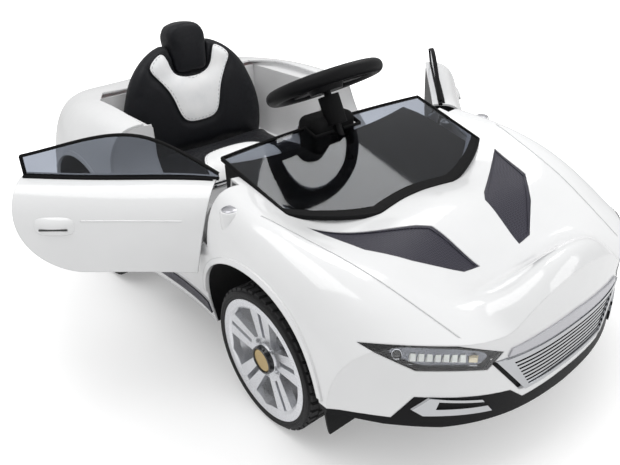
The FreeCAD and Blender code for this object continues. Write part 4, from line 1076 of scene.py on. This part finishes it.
class CAR_OT_glazing(bpy.types.Operator):
    """Make the black borders and edge strips of the visor and the door windows"""
    bl_idname = "car.glazing"
    bl_label = "Glazing"

    def execute(self, context):
        gasket = context.scene.car_trim.gasket
        sill = self.sill(gasket)
        for node, body, strip in (("windscreen", "chassis", self.band()),
                                  ("right_door_window", "right_door", sill),
                                  ("left_door_window", "left_door", mirrored(sill, "sill"))):
            paths = [p for p in sharp_paths(node) if (p[-1] - p[0]).length > EDGE_LEAST]
            name = node + "_border"
            trim = joined(name, [bead(paths, "matt black", gasket), strip])
            piece(name, trim, "matt black", body, "black_plastic")
        return {"FINISHED"}

    def sill(self, gasket):
        """A rubber strip where the right window stands in its door."""
        skin = tree_of(NODES["right_door_panel"])
        row = [DOOR_PLACE @ Vector((x, SILL_Y, 0.4)) for x in np.linspace(*SILL_ENDS, 50)]
        return bead([laid_on(skin, row, UP, SILL_LIFT)], "matt black", gasket * SILL_SHARE)

    def band(self):
        """A black band printed along the visor's front edge."""
        sheet = tree_of(NODES["windscreen"])

        def top(x, y):
            return sheet.ray_cast(Vector((x, y, 0.5)), DOWN)[0]

        bm = bmesh.new()
        rings = []
        for y in np.linspace(-BAND_HALF, BAND_HALF, BAND_STEPS):
            front = next(x for x in BAND_SEARCH if top(x, y))
            row = [top(front - BAND_WIDTH * k / 3, y) for k in range(4)]
            upper = [bm.verts.new(p - DOWN * BAND_LIFT) for p in row]
            rings.append(upper + [bm.verts.new(p + DOWN * BAND_LIFT) for p in reversed(row)])
        bridged(bm, rings)
        bm.faces.new(rings[0])
        bm.faces.new(rings[-1])
        bmesh.ops.recalc_face_normals(bm, faces=bm.faces)
        return to_mesh(bm, "band")


# Doors

HANDLE_MIDDLE = (-0.128, 0.270)
HANDLE_HALF = (0.030, 0.0135)
HANDLE_RISE = 0.0055
HANDLE_SUNK = 0.0006
HANDLE_RINGS = 9
HANDLE_POINTS = 40
SLIT_DROP = 0.003
SLIT_LIFT = 0.0042
SLIT_STEP = 0.005
SLIT_RADIUS = 0.0016
CREASE_Z = 0.2775
CREASE_ENDS = (-0.090, 0.052)
CREASE_SUNK = 0.0004
CREASE_RADIUS = 0.0013
HINGE_POST = Vector((0.160, -0.2585, 0.306))
POST = [(0.0112, 0.0), (0.0128, 0.0006), (0.0135, 0.003), (0.0138, 0.030), (0.0001, 0.030), (0.0001, 0.0)]
POST_CAP = [(0.0001, -0.0026), (0.0085, -0.0022), (0.0105, -0.0012), (0.0110, 0.001), (0.0001, 0.001)]


class CAR_OT_doors(bpy.types.Operator):
    """Make the door handles, their slits, the crease along each door and the hinge posts"""
    bl_idname = "car.doors"
    bl_label = "Doors"

    def execute(self, context):
        skin = tree_of(NODES["right_door_panel"])
        out = (DOOR_PLACE.to_3x3() @ Vector((0, -1, 0))).normalized()

        def place(x, z, lift=0.0):
            return laid_on(skin, [DOOR_PLACE @ Vector((x, -0.25, z))], out, lift)[0]

        x, z = HANDLE_MIDDLE
        slit = [place(x + k * SLIT_STEP, z - SLIT_DROP, SLIT_LIFT) for k in range(-4, 5)]
        crease = [place(x, CREASE_Z, -CREASE_SUNK) for x in np.linspace(*CREASE_ENDS, 30)]
        parts = (("handle", self.handle(place), "body gloss", "white_gloss"),
                 ("slit", bead([slit], "black gloss", SLIT_RADIUS), "black gloss", "black_plastic"),
                 ("crease", bead([crease], "body gloss", CREASE_RADIUS, 0.005), "body gloss", "white_gloss"))
        for side, sign in SIDES:
            body = side + "_door"
            for part, mesh, finish, slot in parts:
                name = "%s_%s" % (body, part)
                piece(name, mesh if sign < 0 else mirrored(mesh, name), finish, body, slot)
        stand = facing(HINGE_POST, UP)
        both_sides("hinge_posts", lathe("post", POST, 40, stand), "body gloss", "white_gloss")
        both_sides("hinge_caps", lathe("cap", POST_CAP, 40, stand), "satin silver", "silver")
        return {"FINISHED"}

    def handle(self, place):
        """A rounded pull that grows out of the skin."""
        bm = bmesh.new()
        rings = []
        for i in range(HANDLE_RINGS):
            share = 1 - i / HANDLE_RINGS
            lift = HANDLE_RISE * (1 - share ** 3) - HANDLE_SUNK
            ring = []
            for k in range(HANDLE_POINTS):
                t = math.tau * k / HANDLE_POINTS
                x, z = [middle + half * share * math.copysign(abs(way) ** 0.6, way)
                        for middle, half, way in zip(HANDLE_MIDDLE, HANDLE_HALF, (math.cos(t), math.sin(t)))]
                ring.append(bm.verts.new(place(x, z, lift)))
            rings.append(ring)
        bridged(bm, rings)
        bm.faces.new(rings[-1])
        bm.faces.new(rings[0][::-1])
        bmesh.ops.recalc_face_normals(bm, faces=bm.faces)
        return to_mesh(bm, "handle", 1.2)


# Cockpit

STEER_CENTRE = Vector((0.048, 0.0, 0.396))
STEER_TILT = math.radians(26)
STEER_RING = (0.084, 0.011)
STEER_SEAM = (0.006, 0.0006)
STEER_SUNK = 0.0001
STEER_OFFSET = 0.001
STEER_POINTS = 160
HORN_RING = [(0.0228, -0.0006), (0.0240, -0.0016), (0.0262, -0.0012), (0.0268, 0.002), (0.0228, 0.002)]
HORN_RISE = 0.012
DIAL_SPOTS = ((-0.021, 0.322), (0.021, 0.322))
DIAL_RADIUS = 0.017
DIAL_RING = [(0.0, 0.001), (0.0, -0.0022), (0.0012, -0.0034), (0.0028, -0.0026), (0.0032, 0.001)]
DIAL_FINISH = {
    "dial_faces": ("dial face", "black_plastic"),
    "dial_marks": ("dial mark", "white_matte"),
    "dial_needles": ("needle red", "red_lens"),
    "dial_rings": ("satin silver", "silver"),
}
TICK = [(0.0001, -0.0002), (0.0004, -0.0002), (0.0004, 0.0004), (0.0001, 0.0004)]
TICK_PLACE = Matrix.Translation((0, -0.0011, DIAL_RADIUS * 0.84)) @ Matrix.Diagonal((1, 1, 4.5, 1))
TICK_COUNT = 19
TICK_START = math.radians(-135)
TICK_SWEEP = math.radians(285)
NEEDLE_AIMS = (-70, 25)
NEEDLE_LIFT = 0.0016
NEEDLE_LENGTH = DIAL_RADIUS * 0.72
NEEDLE_RADIUS = 0.0007
SCREW_LIFT = 0.0002
FLOOR_SCREW_X = (0.040, -0.060, -0.150)
FLOOR_SCREW_Y = (-0.12, 0.12)
PAN_SCREW_X = (-0.48, -0.40, -0.10, 0.02, 0.38)
PAN_SCREW_Y = (-0.16, 0.0, 0.16)
PAN_RIB_ENDS = (-0.17, 0.06)
PAN_RIB_Y = (-0.21, -0.11, -0.055, 0.055, 0.11, 0.21)
PAN_RIB_RADIUS = 0.0022


class CAR_OT_cockpit(bpy.types.Operator):
    """Make the dials, the steering wheel's trims, the screws and the ribs under the floor pan"""
    bl_idname = "car.cockpit"
    bl_label = "Cockpit"

    def execute(self, context):
        radius = context.scene.car_trim.screw
        self.dials()
        self.steering()
        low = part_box("floor_screws")[0].z + SCREW_LIFT
        spots = [(x, y, low) for x in FLOOR_SCREW_X for y in FLOOR_SCREW_Y]
        self.screws("floor_screw_heads", spots, UP, radius, "floor_screws")
        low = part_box("floor_pan")[0].z
        spots = [(x, y, low) for x in PAN_SCREW_X for y in PAN_SCREW_Y]
        self.screws("pan_screw_heads", spots, DOWN, radius)
        ribs = [[Vector((x, y, low)) for x in PAN_RIB_ENDS] for y in PAN_RIB_Y]
        ribs = bead(ribs, "black moulding", PAN_RIB_RADIUS, 0.02)
        piece("pan_ribs", ribs, "black moulding", "chassis", "black_plastic")
        return {"FINISHED"}

    def screws(self, name, spots, way, radius, *nodes):
        base = wire(spots)
        for item in base.attributes.new("way", "FLOAT_VECTOR", "POINT").data:
            item.vector = way
        heads = grown(screw_tree(), base, "zinc steel", Radius=radius)
        piece(name, heads, "zinc steel", "chassis", "steel", *nodes)

    def dials(self):
        board = tree_of(NODES["dashboard"])
        parts = {name: [] for name in DIAL_FINISH}
        r = DIAL_RADIUS
        face = [(0.0001, -0.0004), (r, -0.0009), (r, 0.001), (0.0001, 0.001)]
        ring = [(r + wide, depth) for wide, depth in DIAL_RING]
        for (y, z), aim in zip(DIAL_SPOTS, NEEDLE_AIMS):
            place = facing(laid_on(board, [Vector((0.0, y, z))], REARWARD)[0], REARWARD)
            parts["dial_rings"].append(lathe("ring", ring, 48, place))
            parts["dial_faces"].append(lathe("face", face, 48, place))
            tick = lathe("tick", TICK, 4, TICK_PLACE)
            ticks = grown(ring_tree(), tick, "dial mark",
                          Count=TICK_COUNT, Offset=TICK_START, Sweep=TICK_SWEEP)
            parts["dial_marks"].append(seated(ticks, place))
            turn = math.radians(aim)
            tip = Vector((math.sin(turn) * NEEDLE_LENGTH, -NEEDLE_LIFT, math.cos(turn) * NEEDLE_LENGTH))
            needle = [place @ Vector((0, -NEEDLE_LIFT, 0)), place @ tip]
            parts["dial_needles"].append(bead([needle], "needle red", NEEDLE_RADIUS, 0.003))
        for name, (finish, slot) in DIAL_FINISH.items():
            piece(name, joined(name, parts[name]), finish, "chassis", slot)

    def steering(self):
        turn = Matrix.Translation(STEER_CENTRE) @ Matrix.Rotation(-STEER_TILT, 4, "Y")
        r = STEER_RING[0] - STEER_RING[1] - STEER_SUNK
        angles = [math.tau * k / STEER_POINTS for k in range(STEER_POINTS)]
        seam = [turn @ Vector((r * math.cos(t), r * math.sin(t), STEER_OFFSET)) for t in angles]
        piece("steering_stitches", stitches(seam, *STEER_SEAM), "thread", "steering", "grip")
        place = facing(turn @ Vector((0, 0, HORN_RISE)), turn.to_3x3() @ UP)
        piece("horn_ring", lathe("horn ring", HORN_RING, 48, place), "satin silver", "steering", "silver")


# Panel and running order

STEPS = ["stage", "finishes", "seat", "wheels", "lamps", "glazing", "doors", "cockpit"]


class CAR_PT_panel(bpy.types.Panel):
    """Steps that dress the car"""
    bl_label = "Ride-on car"
    bl_idname = "CAR_PT_panel"
    bl_space_type = "VIEW_3D"
    bl_region_type = "UI"
    bl_category = "Car"

    def draw(self, context):
        for step in STEPS:
            self.layout.operator("car." + step)


SETTINGS = {
    "car_stage": StageSettings,
    "car_finish": FinishSettings,
    "car_seat": SeatSettings,
    "car_wheel": WheelSettings,
    "car_trim": TrimSettings,
}
CLASSES = [*SETTINGS.values(), CAR_OT_stage, CAR_OT_finishes, CAR_OT_seat, CAR_OT_wheels, CAR_OT_lamps,
           CAR_OT_glazing, CAR_OT_doors, CAR_OT_cockpit, CAR_PT_panel]


def register():
    for cls in CLASSES:
        bpy.utils.register_class(cls)
    for name, group in SETTINGS.items():
        setattr(bpy.types.Scene, name, bpy.props.PointerProperty(type=group))


def unregister():
    for name in SETTINGS:
        delattr(bpy.types.Scene, name)
    for cls in reversed(CLASSES):
        bpy.utils.unregister_class(cls)


def main():
    register()
    for step in STEPS:
        getattr(bpy.ops.car, step)()


if __name__ == "__main__":
    main()
